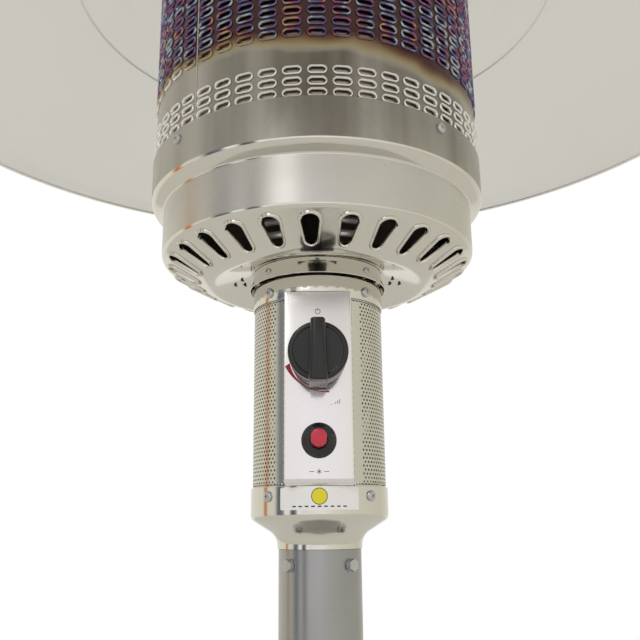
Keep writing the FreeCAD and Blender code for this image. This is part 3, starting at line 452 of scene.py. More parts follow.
def make_handling_group() -> bpy.types.NodeTree:
    """Smudges and polishing marks: a roughness about a middle value and a soft mask."""
    tree, given, result = Group(
        "handling_marks",
        (("Roughness", "NodeSocketFloat", 0.2), ("Variation", "NodeSocketFloat", 0.05),
         ("Scale", "NodeSocketFloat", 14.0)),
        (("Roughness", "NodeSocketFloat"), ("Mask", "NodeSocketFloat")),
    ).begin()
    where = place(tree)
    noise = node(tree, "TexNoise", {"Vector": where, "Scale": given.outputs["Scale"],
                                    "Detail": 4.0, "Distortion": 0.6})
    mask = spread(tree, noise.outputs["Fac"], 0.35, 0.7)
    rough = maths(tree, "MULTIPLY_ADD", mask, given.outputs["Variation"],
                  given.outputs["Roughness"])
    tree.links.new(rough, result.inputs["Roughness"])
    tree.links.new(mask, result.inputs["Mask"])
    return tree


def make_dust_group() -> bpy.types.NodeTree:
    """Dust that settles towards the floor: a mask that fades with height."""
    tree, given, result = Group(
        "settled_dust",
        (("Top", "NodeSocketFloat", 0.1), ("Amount", "NodeSocketFloat", 0.5)),
        (("Mask", "NodeSocketFloat"),),
    ).begin()
    where = place(tree)
    height = node(tree, "SeparateXYZ", {0: where}).outputs["Z"]
    low = spread(tree, maths(tree, "DIVIDE", height, given.outputs["Top"]), 0.0, 1.0, 1.0, 0.0)
    noise = node(tree, "TexNoise", {"Vector": where, "Scale": 45.0, "Detail": 5.0})
    patch = maths(tree, "MULTIPLY", spread(tree, noise.outputs["Fac"], 0.4, 0.65), low)
    tree.links.new(maths(tree, "MULTIPLY", patch, given.outputs["Amount"]),
                   result.inputs["Mask"])
    return tree


def make_heat_tint_and_rim_highlight_group() -> bpy.types.NodeTree:
    """Temper colours of heated steel: clean, straw, bronze, purple, blue; painted highlights on
    rims.
    """
    tree, given, result = Group(
        "temper_colours_and_rim_highlights",
        (("Clean Below", "NodeSocketFloat", 2.05), ("Stained Above", "NodeSocketFloat", 2.07),
         ("Sheet Radius", "NodeSocketFloat", 0.13), ("Clean Colour", "NodeSocketColor",
                                                     (0.6, 0.6, 0.6, 1.0))),
        (("Colour", "NodeSocketColor"), ("Stain", "NodeSocketFloat")),
    ).begin()
    where = place(tree)
    parts = node(tree, "SeparateXYZ", {0: where})
    broad = node(tree, "TexNoise", {"Vector": where, "Scale": 16.0, "Detail": 2.0})
    lean = maths(tree, "MULTIPLY_ADD", parts.outputs["X"], 0.085, parts.outputs["Z"])
    level = maths(tree, "MULTIPLY_ADD", maths(tree, "SUBTRACT", broad.outputs["Fac"], 0.5), 0.03,
                  lean)
    stain = node(tree, "MapRange", {"Value": level, "From Min": given.outputs["Clean Below"],
                                    "From Max": given.outputs["Stained Above"]}).outputs[0]
    sheet = node(tree, "ValToRGB", {0: stain})
    steps = ((0.0, (0.6, 0.57, 0.50)), (0.35, (0.42, 0.34, 0.20)), (0.6, (0.20, 0.11, 0.07)),
             (0.8, (0.085, 0.045, 0.04)), (1.0, (0.10, 0.055, 0.05)))
    set_ramp(sheet.color_ramp, steps)
    # Raised rims: real temper colours, painted lighter than the dark sheet as painted highlights.
    spots = node(tree, "TexNoise", {"Vector": where, "Scale": 75.0, "Detail": 1.0})
    rim_tint_highlight_ramp = node(tree, "ValToRGB", {0: spots.outputs["Fac"]})
    rim_tint_highlight_stops = ((0.28, (0.55, 0.40, 0.28)), (0.38, (0.36, 0.13, 0.20)), (0.46, (0.17, 0.10, 0.26)),
            (0.54, (0.16, 0.19, 0.36)), (0.62, (0.48, 0.58, 0.64)), (0.72, (0.34, 0.18, 0.32)))
    set_ramp(rim_tint_highlight_ramp.color_ramp, rim_tint_highlight_stops)
    flat = node(tree, "CombineXYZ", {0: parts.outputs["X"], 1: parts.outputs["Y"]}).outputs[0]
    radius = node(tree, "VectorMath", {0: flat}, operation="LENGTH").outputs["Value"]
    proud = maths(tree, "SUBTRACT", radius, given.outputs["Sheet Radius"])
    rim_highlight_mask = spread(tree, proud, 0.15 * MM, 0.9 * MM)
    rim_tint_highlight_share = maths(tree, "MULTIPLY", rim_highlight_mask, spread(tree, stain, 0.35, 0.9))
    tinted = blend(tree, rim_tint_highlight_share, sheet.outputs["Color"], rim_tint_highlight_ramp.outputs["Color"])
    # Painted highlight: the raised rims go near white where the sheet is clean.
    painted_rim_highlight = blend(tree, maths(tree, "MULTIPLY", rim_highlight_mask, 0.9), given.outputs["Clean Colour"],
                   solid((0.97, 0.97, 0.96)))
    clean = blend(tree, spread(tree, stain, 0.0, 0.3), painted_rim_highlight, tinted)
    tree.links.new(clean, result.inputs["Colour"])
    tree.links.new(stain, result.inputs["Stain"])
    return tree


def make_dark_streak_group() -> bpy.types.NodeTree:
    """Dark bronze-brown tone in upright streaks, strongest at set turns from the front."""
    tree, given, result = Group(
        "upright_dark_streaks_by_turn",
        (("Clean Colour", "NodeSocketColor", (0.6, 0.6, 0.6, 1.0)),
         ("Amount", "NodeSocketFloat", 1.0)),
        (("Colour", "NodeSocketColor"),),
    ).begin()
    where = place(tree)
    parts = node(tree, "SeparateXYZ", {0: where})
    turn = azimuth(tree, parts)
    stripes = node(tree, "VectorMath", {0: where, 1: (38.0, 38.0, 5.0)}, operation="MULTIPLY")
    noise = node(tree, "TexNoise", {"Vector": stripes.outputs[0], "Scale": 1.0, "Detail": 3.0})
    ramp = node(tree, "ValToRGB", {0: turn})
    shares = ((-180, 0.3), (-120, 0.5), (-60, 0.15), (-40, 0.1), (-26, 0.6), (-19, 0.4),
              (-10, 0.85), (8, 0.98), (14, 0.6), (27, 0.75), (40, 0.5), (48, 0.9), (56, 0.5),
              (120, 0.5), (180, 0.3))
    set_ramp(ramp.color_ramp, by_angle(tuple((angle, (share,) * 3) for angle, share in shares)))
    uneven = maths(tree, "MULTIPLY", maths(tree, "SUBTRACT", noise.outputs["Fac"], 0.5), 1.1)
    share = maths(tree, "MULTIPLY", maths(tree, "ADD", ramp.outputs["Color"], uneven),
                  given.outputs["Amount"])
    held = spread(tree, share, 0.0, 1.0)
    tinted = blend(tree, held, given.outputs["Clean Colour"], solid((0.10, 0.083, 0.055)))
    tree.links.new(tinted, result.inputs["Colour"])
    return tree


def set_ramp(ramp: bpy.types.ColorRamp, steps: tuple[tuple[float, Colour], ...]) -> None:
    """Give a colour ramp its stops."""
    while len(ramp.elements) < len(steps):
        ramp.elements.new(0.5)
    for element, (position, colour) in zip(ramp.elements, steps):
        element.position = position
        element.color = solid(colour)


GROUPS: dict[str, bpy.types.NodeTree] = {}


def make_groups() -> None:
    """Build each shared effect once."""
    for tree in (make_grain_group(), make_handling_group(), make_dust_group(),
                 make_heat_tint_and_rim_highlight_group(), make_dark_streak_group()):
        GROUPS[tree.name] = tree


def effect(tree: bpy.types.NodeTree, name: str, **values: object) -> bpy.types.Node:
    """Place a shared effect in a material with its own values.

    Args:
        tree: The material's node tree.
        name: The group's name.
        values: Its inputs, with spaces in their names as underscores.
    """
    made = tree.nodes.new("ShaderNodeGroup")
    made.node_tree = GROUPS[name]
    for key, value in values.items():
        made.inputs[key.replace("_", " ")].default_value = value
    return made


@dataclass(frozen=True)
class Finish:
    """A surface: its colours, gloss, grain and wear."""

    name: str
    colour: Colour
    second: Colour
    roughness: float
    variation: float = 0.05
    marks: float = 14.0
    metallic: float = 1.0
    grain: Grain = Grain.EVEN
    depth: float = 0.0
    coat: float = 0.0
    specular: float = 0.5
    dust: float = 0.0
    dark_turn_share: float = 0.0

    def shader(self) -> tuple[bpy.types.Material, bpy.types.Node]:
        """Make the material with its grain and marks.

        Returns:
            The material and its Principled BSDF.
        """
        material = bpy.data.materials.new(self.name)
        material.use_nodes = True
        tree = material.node_tree
        surface = tree.nodes["Principled BSDF"]
        surface.inputs["Metallic"].default_value = self.metallic
        surface.inputs["Coat Weight"].default_value = self.coat
        surface.inputs["Specular IOR Level"].default_value = self.specular
        grain = effect(tree, "surface_grain", Stretch=self.grain.value, Contrast=1.0)
        marks = effect(tree, "handling_marks", Roughness=self.roughness,
                       Variation=self.variation, Scale=self.marks)
        share = maths(tree, "MULTIPLY_ADD", marks.outputs["Mask"], 0.45,
                      maths(tree, "MULTIPLY", grain.outputs["Shade"], 0.55))
        colour = blend(tree, share, solid(self.colour), solid(self.second))
        # A darker bronze-brown tone in upright streaks, set by the turn from the front.
        if self.dark_turn_share:
            dark_turn_share = effect(tree, "upright_dark_streaks_by_turn", Amount=self.dark_turn_share)
            tree.links.new(colour, dark_turn_share.inputs["Clean Colour"])
            colour = dark_turn_share.outputs["Colour"]
        if self.dust:
            dust = effect(tree, "settled_dust", Top=0.12, Amount=self.dust)
            colour = blend(tree, dust.outputs["Mask"], colour, solid((0.42, 0.40, 0.36)))
        tree.links.new(colour, surface.inputs["Base Color"])
        tree.links.new(marks.outputs["Roughness"], surface.inputs["Roughness"])
        if self.depth:
            bump = node(tree, "Bump", {"Height": grain.outputs["Height"], "Distance": self.depth,
                                       "Strength": 1.0})
            tree.links.new(bump.outputs["Normal"], surface.inputs["Normal"])
        return material, surface

    def make(self) -> bpy.types.Material:
        """The finished material."""
        return self.shader()[0]


@dataclass(frozen=True)
class HeatTintAndRimHighlightFinish(Finish):
    """Steel that has run hot, with temper colours above a height and painted highlights on raised
    rims.
    """

    clean_below: float = 0.0
    stained_above: float = 0.0
    sheet_radius: float = 0.0

    def make(self) -> bpy.types.Material:
        """The material with its temper colours and painted rim highlights."""
        material, surface = self.shader()
        tree = material.node_tree
        heat = effect(tree, "temper_colours_and_rim_highlights", Clean_Below=self.clean_below,
                      Stained_Above=self.stained_above, Sheet_Radius=self.sheet_radius)
        before = surface.inputs["Base Color"].links[0].from_socket
        tree.links.new(before, heat.inputs["Clean Colour"])
        tree.links.new(heat.outputs["Colour"], surface.inputs["Base Color"])
        return material


POLISHED = Finish("polished_steel", (0.77, 0.755, 0.70), (0.72, 0.70, 0.64), 0.06, 0.05, 9.0,
                  grain=Grain.AROUND)
BRUSHED = Finish("brushed_steel", (0.66, 0.65, 0.61), (0.56, 0.55, 0.52), 0.24, 0.08, 7.0,
                 grain=Grain.AROUND, depth=0.012 * MM)
BAND_STEEL = Finish("band_steel", (0.64, 0.63, 0.58), (0.56, 0.55, 0.50), 0.24, 0.08, 7.0,
                    grain=Grain.AROUND, depth=0.012 * MM, dark_turn_share=0.75)
POST_STEEL = Finish("post_steel", (0.43, 0.43, 0.43), (0.34, 0.34, 0.345), 0.26, 0.08, 7.0,
                    grain=Grain.AROUND, depth=0.008 * MM)
SLEEVE_STEEL = Finish("sleeve_steel", (0.70, 0.69, 0.63), (0.62, 0.61, 0.55), 0.18, 0.06, 12.0,
                      depth=0.004 * MM)
PANEL_STEEL = Finish("panel_steel", (0.90, 0.885, 0.89), (0.86, 0.845, 0.85), 0.12, 0.05, 18.0,
                     metallic=0.85, grain=Grain.UPRIGHT)
INNER_STEEL = Finish("inner_steel", (0.30, 0.29, 0.27), (0.20, 0.19, 0.18), 0.42, 0.12, 20.0,
                     depth=0.01 * MM)
ALUMINIUM = Finish("reflector_aluminium", (0.98, 0.975, 0.97), (0.93, 0.925, 0.92), 0.38, 0.08,
                   3.0, depth=0.004 * MM)
ZINC = Finish("zinc_steel", (0.62, 0.63, 0.65), (0.52, 0.53, 0.55), 0.22, 0.1, 60.0,
              depth=0.01 * MM)
TUBE_STEEL = Finish("tube_steel", (0.98, 0.98, 0.96), (0.94, 0.94, 0.91), 0.3, 0.1, 40.0,
                    metallic=0.5, depth=0.01 * MM)
BRASS = Finish("brass", (0.72, 0.52, 0.22), (0.60, 0.42, 0.17), 0.25, 0.12, 60.0,
               depth=0.01 * MM)
IRON = Finish("burner_iron", (0.09, 0.085, 0.08), (0.16, 0.11, 0.08), 0.6, 0.15, 40.0,
              grain=Grain.COARSE, depth=0.12 * MM)
BLACK_PLASTIC = Finish("black_plastic", (0.012, 0.013, 0.013), (0.016, 0.017, 0.018), 0.24, 0.08,
                       60.0, metallic=0.0, depth=0.008 * MM, coat=0.15,
                       specular=0.4)
RED_PLASTIC = Finish("red_plastic", (0.72, 0.035, 0.075), (0.62, 0.03, 0.065), 0.3, 0.1, 90.0,
                     metallic=0.0, depth=0.01 * MM)
RED_INK = Finish("red_ink", (0.45, 0.012, 0.04), (0.40, 0.01, 0.035), 0.4, 0.1, 90.0,
                 metallic=0.0, depth=0.002 * MM)
GREY_INK = Finish("grey_ink", (0.10, 0.10, 0.12), (0.14, 0.14, 0.16), 0.45, 0.1, 90.0,
                  metallic=0.0, depth=0.002 * MM)
NAVY_INK = Finish("navy_ink", (0.012, 0.012, 0.05), (0.02, 0.02, 0.07), 0.4, 0.1, 90.0,
                  metallic=0.0, depth=0.002 * MM)
YELLOW_INK = Finish("yellow_ink", (0.92, 0.82, 0.02), (0.86, 0.77, 0.02), 0.4, 0.1, 90.0,
                    metallic=0.0, depth=0.002 * MM)
LABEL_FILM = Finish("label_film", (1.0, 1.0, 1.0), (0.95, 0.95, 0.97), 0.28, 0.1, 50.0,
                    metallic=0.0, depth=0.004 * MM, coat=0.4)
POWDER_COAT = Finish("powder_coat", (0.045, 0.045, 0.047), (0.06, 0.06, 0.062), 0.45, 0.1, 30.0,
                     metallic=0.0, grain=Grain.COARSE, depth=0.05 * MM, dust=0.12)
RUBBER = Finish("rubber", (0.018, 0.018, 0.018), (0.03, 0.03, 0.03), 0.7, 0.15, 60.0,
                metallic=0.0, grain=Grain.COARSE, depth=0.06 * MM, dust=0.9)
WHEEL_PLASTIC = Finish("wheel_plastic", (0.022, 0.022, 0.024), (0.03, 0.03, 0.032), 0.42, 0.12,
                       60.0, metallic=0.0, depth=0.02 * MM, dust=0.6)
CERAMIC = Finish("ceramic", (0.78, 0.76, 0.70), (0.70, 0.68, 0.62), 0.3, 0.1, 80.0,
                 metallic=0.0, depth=0.01 * MM, coat=0.5)
MATERIALS: dict[str, bpy.types.Material] = {}


def paint(finish: Finish) -> bpy.types.Material:
    """The material of a finish, made once."""
    if finish.name not in MATERIALS:
        MATERIALS[finish.name] = finish.make()
    return MATERIALS[finish.name]


def dress(piece: Piece, *finishes: Finish) -> None:
    """Give a piece its materials, the first one all over."""
    piece.data.materials.clear()
    for finish in finishes:
        piece.data.materials.append(paint(finish))


def dress_where(piece: Piece, slot: int, test: Callable[[Vector, Vector], bool]) -> None:
    """Assign one of a piece's materials to the faces that pass a test."""
    with editing(piece):
        pick(piece, test)
        piece.active_material_index = slot
        bpy.ops.object.material_slot_assign()


class Body(Enum):
    """The moving bodies of the frame."""

    FRAME = "heater_frame"
    COVER = "tank_cover_body"
    LEFT_WHEEL = "left_wheel"
    RIGHT_WHEEL = "right_wheel"
    KNOB = "knob_body"
    PLUNGER = "igniter_plunger"


def fit(piece: Piece, body: Body, slot: str, *nodes: str) -> Piece:
    """Let a finished piece ride on a body and stand for CAD nodes."""
    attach(piece, body.value)
    if nodes:
        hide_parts(*nodes)
    LOG.info("%s: %d faces", piece.name, len(piece.data.polygons))
    return piece


def fit_to_frame(piece: Piece, coating: Finish, slot: str, *nodes: str) -> Piece:
    """Dress a piece of the frame in one finish and fit it."""
    dress(piece, coating)
    return fit(piece, Body.FRAME, slot, *nodes)


# Punched sheet, made flat and rolled up ------------------------------------------------------

@dataclass
class RolledSheet:
    """A sheet that is punched flat and then rolled round the post's axis.

    Flat, X runs along the turn at the radius given, Y up the slant and Z out of the sheet.
    """

    radius: float
    level: float
    slope: float = math.pi / 2
    phase: float = 0.0

    def roll(self, piece: Piece) -> None:
        """Bend the flat piece round: its X becomes a turn, its Y climbs the slant."""
        along = Vector((math.cos(self.slope), math.sin(self.slope)))
        out = Vector((along.y, -along.x))
        for point in piece.data.vertices:
            turn = point.co.x / self.radius + self.phase
            spot = Vector((self.radius, self.level)) + along * point.co.y + out * point.co.z
            point.co = (spot.x * math.sin(turn), -spot.x * math.cos(turn), spot.y)
        close_up(piece)

    @property
    def girth(self) -> float:
        """The length of the whole turn."""
        return FULL_TURN * self.radius


def bordered_hole(name: str, size: Point, hole: Point, sides: Point, rim: list[Point],
                  taper: float = 1.0) -> Piece:
    """A flat cell with a round-ended hole and a rim pressed up round it.

    Args:
        name: The piece's name.
        size: The cell's width and height.
        hole: The width and height of the rim's foot; the longer way has round ends.
        sides: Runs along the cell's width and its height.
        rim: (inward, outward) steps from the rim's foot to the bottom of the hole.
        taper: The lower end's width against the upper one's, in a hole that stands upright.

    Returns:
        The cell, open in the hole, with its middle at the origin.
    """
    def inner(spot: Vector, _: Vector) -> bool:
        return abs(spot.x) < size[0] / 2 - MERGE_GAP and abs(spot.y) < size[1] / 2 - MERGE_GAP

    lying = hole[0] > hole[1]
    end = min(hole) / 2
    shift = max(hole) / 2 - end
    count = 2 * (sides[0] + sides[1])
    cell = begin(name, bpy.ops.mesh.primitive_grid_add, stretch=(size[0], size[1], 1), size=1,
                 x_subdivisions=sides[0], y_subdivisions=sides[1])
    with editing(cell, "VERT"):
        pick(cell, inner, "VERT")
        bpy.ops.mesh.delete(type="VERT")
        bpy.ops.mesh.primitive_circle_add(vertices=count, radius=end, fill_type="NOTHING")
        bpy.ops.transform.rotate(value=math.pi / count, orient_axis="Z", center_override=(0, 0, 0))
        for side in (1, -1):
            pick(cell, lambda spot, out: inner(spot, out)
                 and (spot.x if lying else spot.y) * side > 0, "VERT")
            if side < 0 and taper != 1:
                bpy.ops.transform.resize(value=(taper, taper, 1), center_override=(0, 0, 0))
            reached = shift if side > 0 or taper == 1 else shift + end * (1 - taper)
            move = (side * reached, 0, 0) if lying else (0, side * reached, 0)
            bpy.ops.transform.translate(value=move)
        bpy.ops.mesh.select_mode(type="EDGE")
        bpy.ops.mesh.select_all(action="SELECT")
        bpy.ops.mesh.bridge_edge_loops()
        pick(cell, inner, "VERT")
        bpy.ops.mesh.select_mode(type="EDGE")
        wide, high = hole
        for inward, outward in rim:
            extrude(0, 0, outward)
            shrink = ((wide - 2 * inward) / wide, (high - 2 * inward) / high, 1)
            bpy.ops.transform.resize(value=shrink, center_override=(0, 0, 0))
            wide, high = wide - 2 * inward, high - 2 * inward
    return cell


def repeat(piece: Piece, count: int, step: Colour) -> None:
    """Repeat a piece count times by a step, merging where copies meet."""
    modify(piece, "ARRAY", count=count, use_relative_offset=False, use_constant_offset=True,
           constant_offset_displace=step, use_merge_vertices=True, merge_threshold=MERGE_GAP)


def shift_by(piece: Piece, x: float = 0.0, y: float = 0.0, z: float = 0.0) -> None:
    """Move a piece and settle it."""
    piece.location = (x, y, z)
    settle(piece)


def trim(piece: Piece, spot: Colour, outward: Colour) -> None:
    """Cut away what lies outside a plane."""
    with editing(piece):
        bpy.ops.mesh.bisect(plane_co=spot, plane_no=outward, clear_outer=True, use_fill=False)


@dataclass
class EmitterScreen:
    """The heat screen: a rolled sheet with rows of round-ended, rimmed openings."""

    radius: float = taken(reach_of, "emitter_screen")
    foot: float = taken(foot_of, "emitter_screen")
    top: float = taken(top_of, "emitter_screen")
    columns: int = 48
    pitch: float = 8.6 * MM
    lower_rows: int = 3
    lower_start: float = 14.9 * MM
    plain_band: float = 20.2 * MM
    hole: Point = (14.3 * MM, 7.3 * MM)
    across: int = 3
    phase: float = math.radians(0.5)

    def strip(self, low: float, high: float, rows: int) -> Piece:
        """A plain stretch of the flat sheet between two heights above its foot."""
        sheet = RolledSheet(self.radius, self.foot)
        piece = begin("plain_strip", bpy.ops.mesh.primitive_grid_add,
                      stretch=(sheet.girth, high - low, 1), size=1,
                      x_subdivisions=self.columns * self.across, y_subdivisions=rows)
        shift_by(piece, y=(low + high) / 2)
        return piece

    def rows(self, start: float, count: int) -> Piece:
        """Rows of rimmed openings from a height above the foot."""
        width = RolledSheet(self.radius, self.foot).girth / self.columns
        rim = [(0.4 * MM, 1.2 * MM), (0.6 * MM, 0.25 * MM), (1.2 * MM, -1.4 * MM),
               (0.15 * MM, -1.6 * MM)]
        cell = bordered_hole("openings", (width, self.pitch), self.hole,
                             (self.across, self.across), rim)
        repeat(cell, self.columns, (width, 0, 0))
        repeat(cell, count, (0, self.pitch, 0))
        shift_by(cell, x=-width * (self.columns - 1) / 2, y=start + self.pitch / 2)
        return cell

    def inner(self) -> Piece:
        """The plain inner sheet close behind the openings, its colour lightened as painted light.
        """
        near = self.radius - 1.8 * MM
        sheet = turned("inner_screen_sheet", [(near, self.foot + 6 * MM),
                                              (near, self.top - 1 * MM)], 96, 0.5 * MM)
        # Painted light: coloured lighter than the outer sheet, so the shaded openings read
        # mid-tone.
        dress(sheet, HeatTintAndRimHighlightFinish(
            "inner_screen_steel_painted_light", (0.80, 0.72, 0.64), (0.62, 0.54, 0.46), 0.35, 0.1, 30.0,
            grain=Grain.AROUND, depth=0.008 * MM, clean_below=self.foot + 60 * MM,
            stained_above=self.foot + 90 * MM, sheet_radius=self.radius))
        return fit(sheet, Body.FRAME, "heat_stained_stainless")

    def seam(self) -> Piece:
        """The lapped edge that runs up the sheet between two columns."""
        piece = begin("screen_seam", bpy.ops.mesh.primitive_cube_add, size=1,
                      stretch=(1.3 * MM, 0.5 * MM, self.top - self.foot),
                      location=(0, -self.radius - 0.1 * MM, (self.top + self.foot) / 2))
        modify(piece, "BEVEL", width=0.15 * MM, segments=2)
        piece.rotation_euler.z = self.phase - FULL_TURN / self.columns * 5.5
        settle(piece)
        return fit_to_frame(piece, BAND_STEEL, "heat_stained_stainless")

    def build(self) -> Piece:
        """Punch the flat sheet, roll it and dress it."""
        self.inner()
        self.seam()
        height = self.top - self.foot
        first_top = self.lower_start + self.lower_rows * self.pitch
        second = first_top + self.plain_band
        upper_rows = int((height - second) / self.pitch)
        last = second + upper_rows * self.pitch
        flat = join("emitter_screen_sheet", [
            self.strip(0, self.lower_start, 2), self.rows(self.lower_start, self.lower_rows),
            self.strip(first_top, second, 2), self.rows(second, upper_rows),
            self.strip(last, height, 1)])
        half_pitch = math.pi / self.columns
        RolledSheet(self.radius, self.foot, phase=self.phase - half_pitch).roll(flat)
        smooth(flat, math.radians(50))
        dress(flat, HeatTintAndRimHighlightFinish(
            "heated_screen_steel_with_rim_highlights", (0.62, 0.60, 0.54), (0.54, 0.52, 0.47), 0.2, 0.08, 10.0,
            grain=Grain.AROUND, depth=0.008 * MM, dark_turn_share=0.9,
            clean_below=self.foot + second - 12 * MM,
            stained_above=self.foot + second + 9 * MM, sheet_radius=self.radius))
        return fit(flat, Body.FRAME, "heat_stained_stainless", "emitter_screen")


@dataclass
class ControlSleeve:
    """The perforated sleeve behind the control panel, open at the front for the panel."""

    radius: float = taken(reach_of, "control_sleeve")
    foot: float = taken(top_of, "lower_cup")
    top: float = taken(foot_of, "sleeve_top_band")
    panel_half: float = taken(reach_of, "control_panel")
    wall: float = 0.8 * MM
    columns: int = 98
    hole_radius: float = 0.86 * MM
    plain_margin: float = math.radians(4.2)
    tuck: float = 6 * MM

    def cells(self, hole: float, columns: int, start: float, rows: int) -> Piece:
        """Staggered six-sided cells, with a hole in each unless its radius is 0."""
        pitch = FULL_TURN * self.radius / self.columns
        corner = pitch / math.sqrt(3)
        cell = begin("cells", bpy.ops.mesh.primitive_circle_add, vertices=6, radius=corner,
                     fill_type="NGON")
        if hole:
            with editing(cell):
                bpy.ops.mesh.inset(thickness=(corner - hole) * math.cos(math.pi / 6))
                pick(cell, lambda spot, out: spot.length < MERGE_GAP and abs(out.z) > 0.5)
                extrude(0, 0, -self.wall)
                bpy.ops.mesh.delete(type="FACE")
        repeat(cell, columns, (pitch, 0, 0))
        repeat(cell, 2, (pitch / 2, corner * 1.5, 0))
        repeat(cell, rows // 2, (0, corner * 3, 0))
        shift_by(cell, x=start, y=corner * 0.75)
        return cell

    def build(self) -> Piece:
        """Punch, trim and roll the sleeve."""
        gap = math.asin(self.panel_half / self.radius) + math.radians(0.7)
        half = (math.pi - gap) * self.radius
        pitch = FULL_TURN * self.radius / self.columns
        punched = 2 * int((half - self.plain_margin * self.radius) / pitch) - 1
        start = -pitch * (punched - 0.5) / 2
        row = pitch * math.sqrt(3) / 2
        rows = 2 * int((self.top - self.foot) / row / 2)
        side = 4
        flat = join("control_sleeve_sheet", [
            self.cells(self.hole_radius, punched, start, rows),
            self.cells(0, side, start - side * pitch, rows),
            self.cells(0, side, start + punched * pitch, rows)])
        with editing(flat):
            bpy.ops.mesh.remove_doubles(threshold=MERGE_GAP)
        trim(flat, (half, 0, 0), (1, 0, 0))
        trim(flat, (-half, 0, 0), (-1, 0, 0))
        RolledSheet(self.radius, self.foot + (self.top - self.foot - rows * row) / 2,
                    phase=math.pi).roll(flat)
        hidden = []
        for low, high in ((self.foot - self.tuck, self.foot + 0.9 * MM),
                          (self.top - 0.9 * MM, self.top + self.tuck)):
            edge = self.radius - 0.05 * MM
            hidden.append(turned("sleeve_edge", [(edge, low), (edge, high)], wall=self.wall,
                                 gap=gap))
        sleeve = join("control_sleeve_sheet", [flat, *hidden])
        smooth(sleeve, math.radians(50))
        return fit_to_frame(sleeve, SLEEVE_STEEL, "satin_stainless", "control_sleeve")


# The burner bowl -----------------------------------------------------------------------------

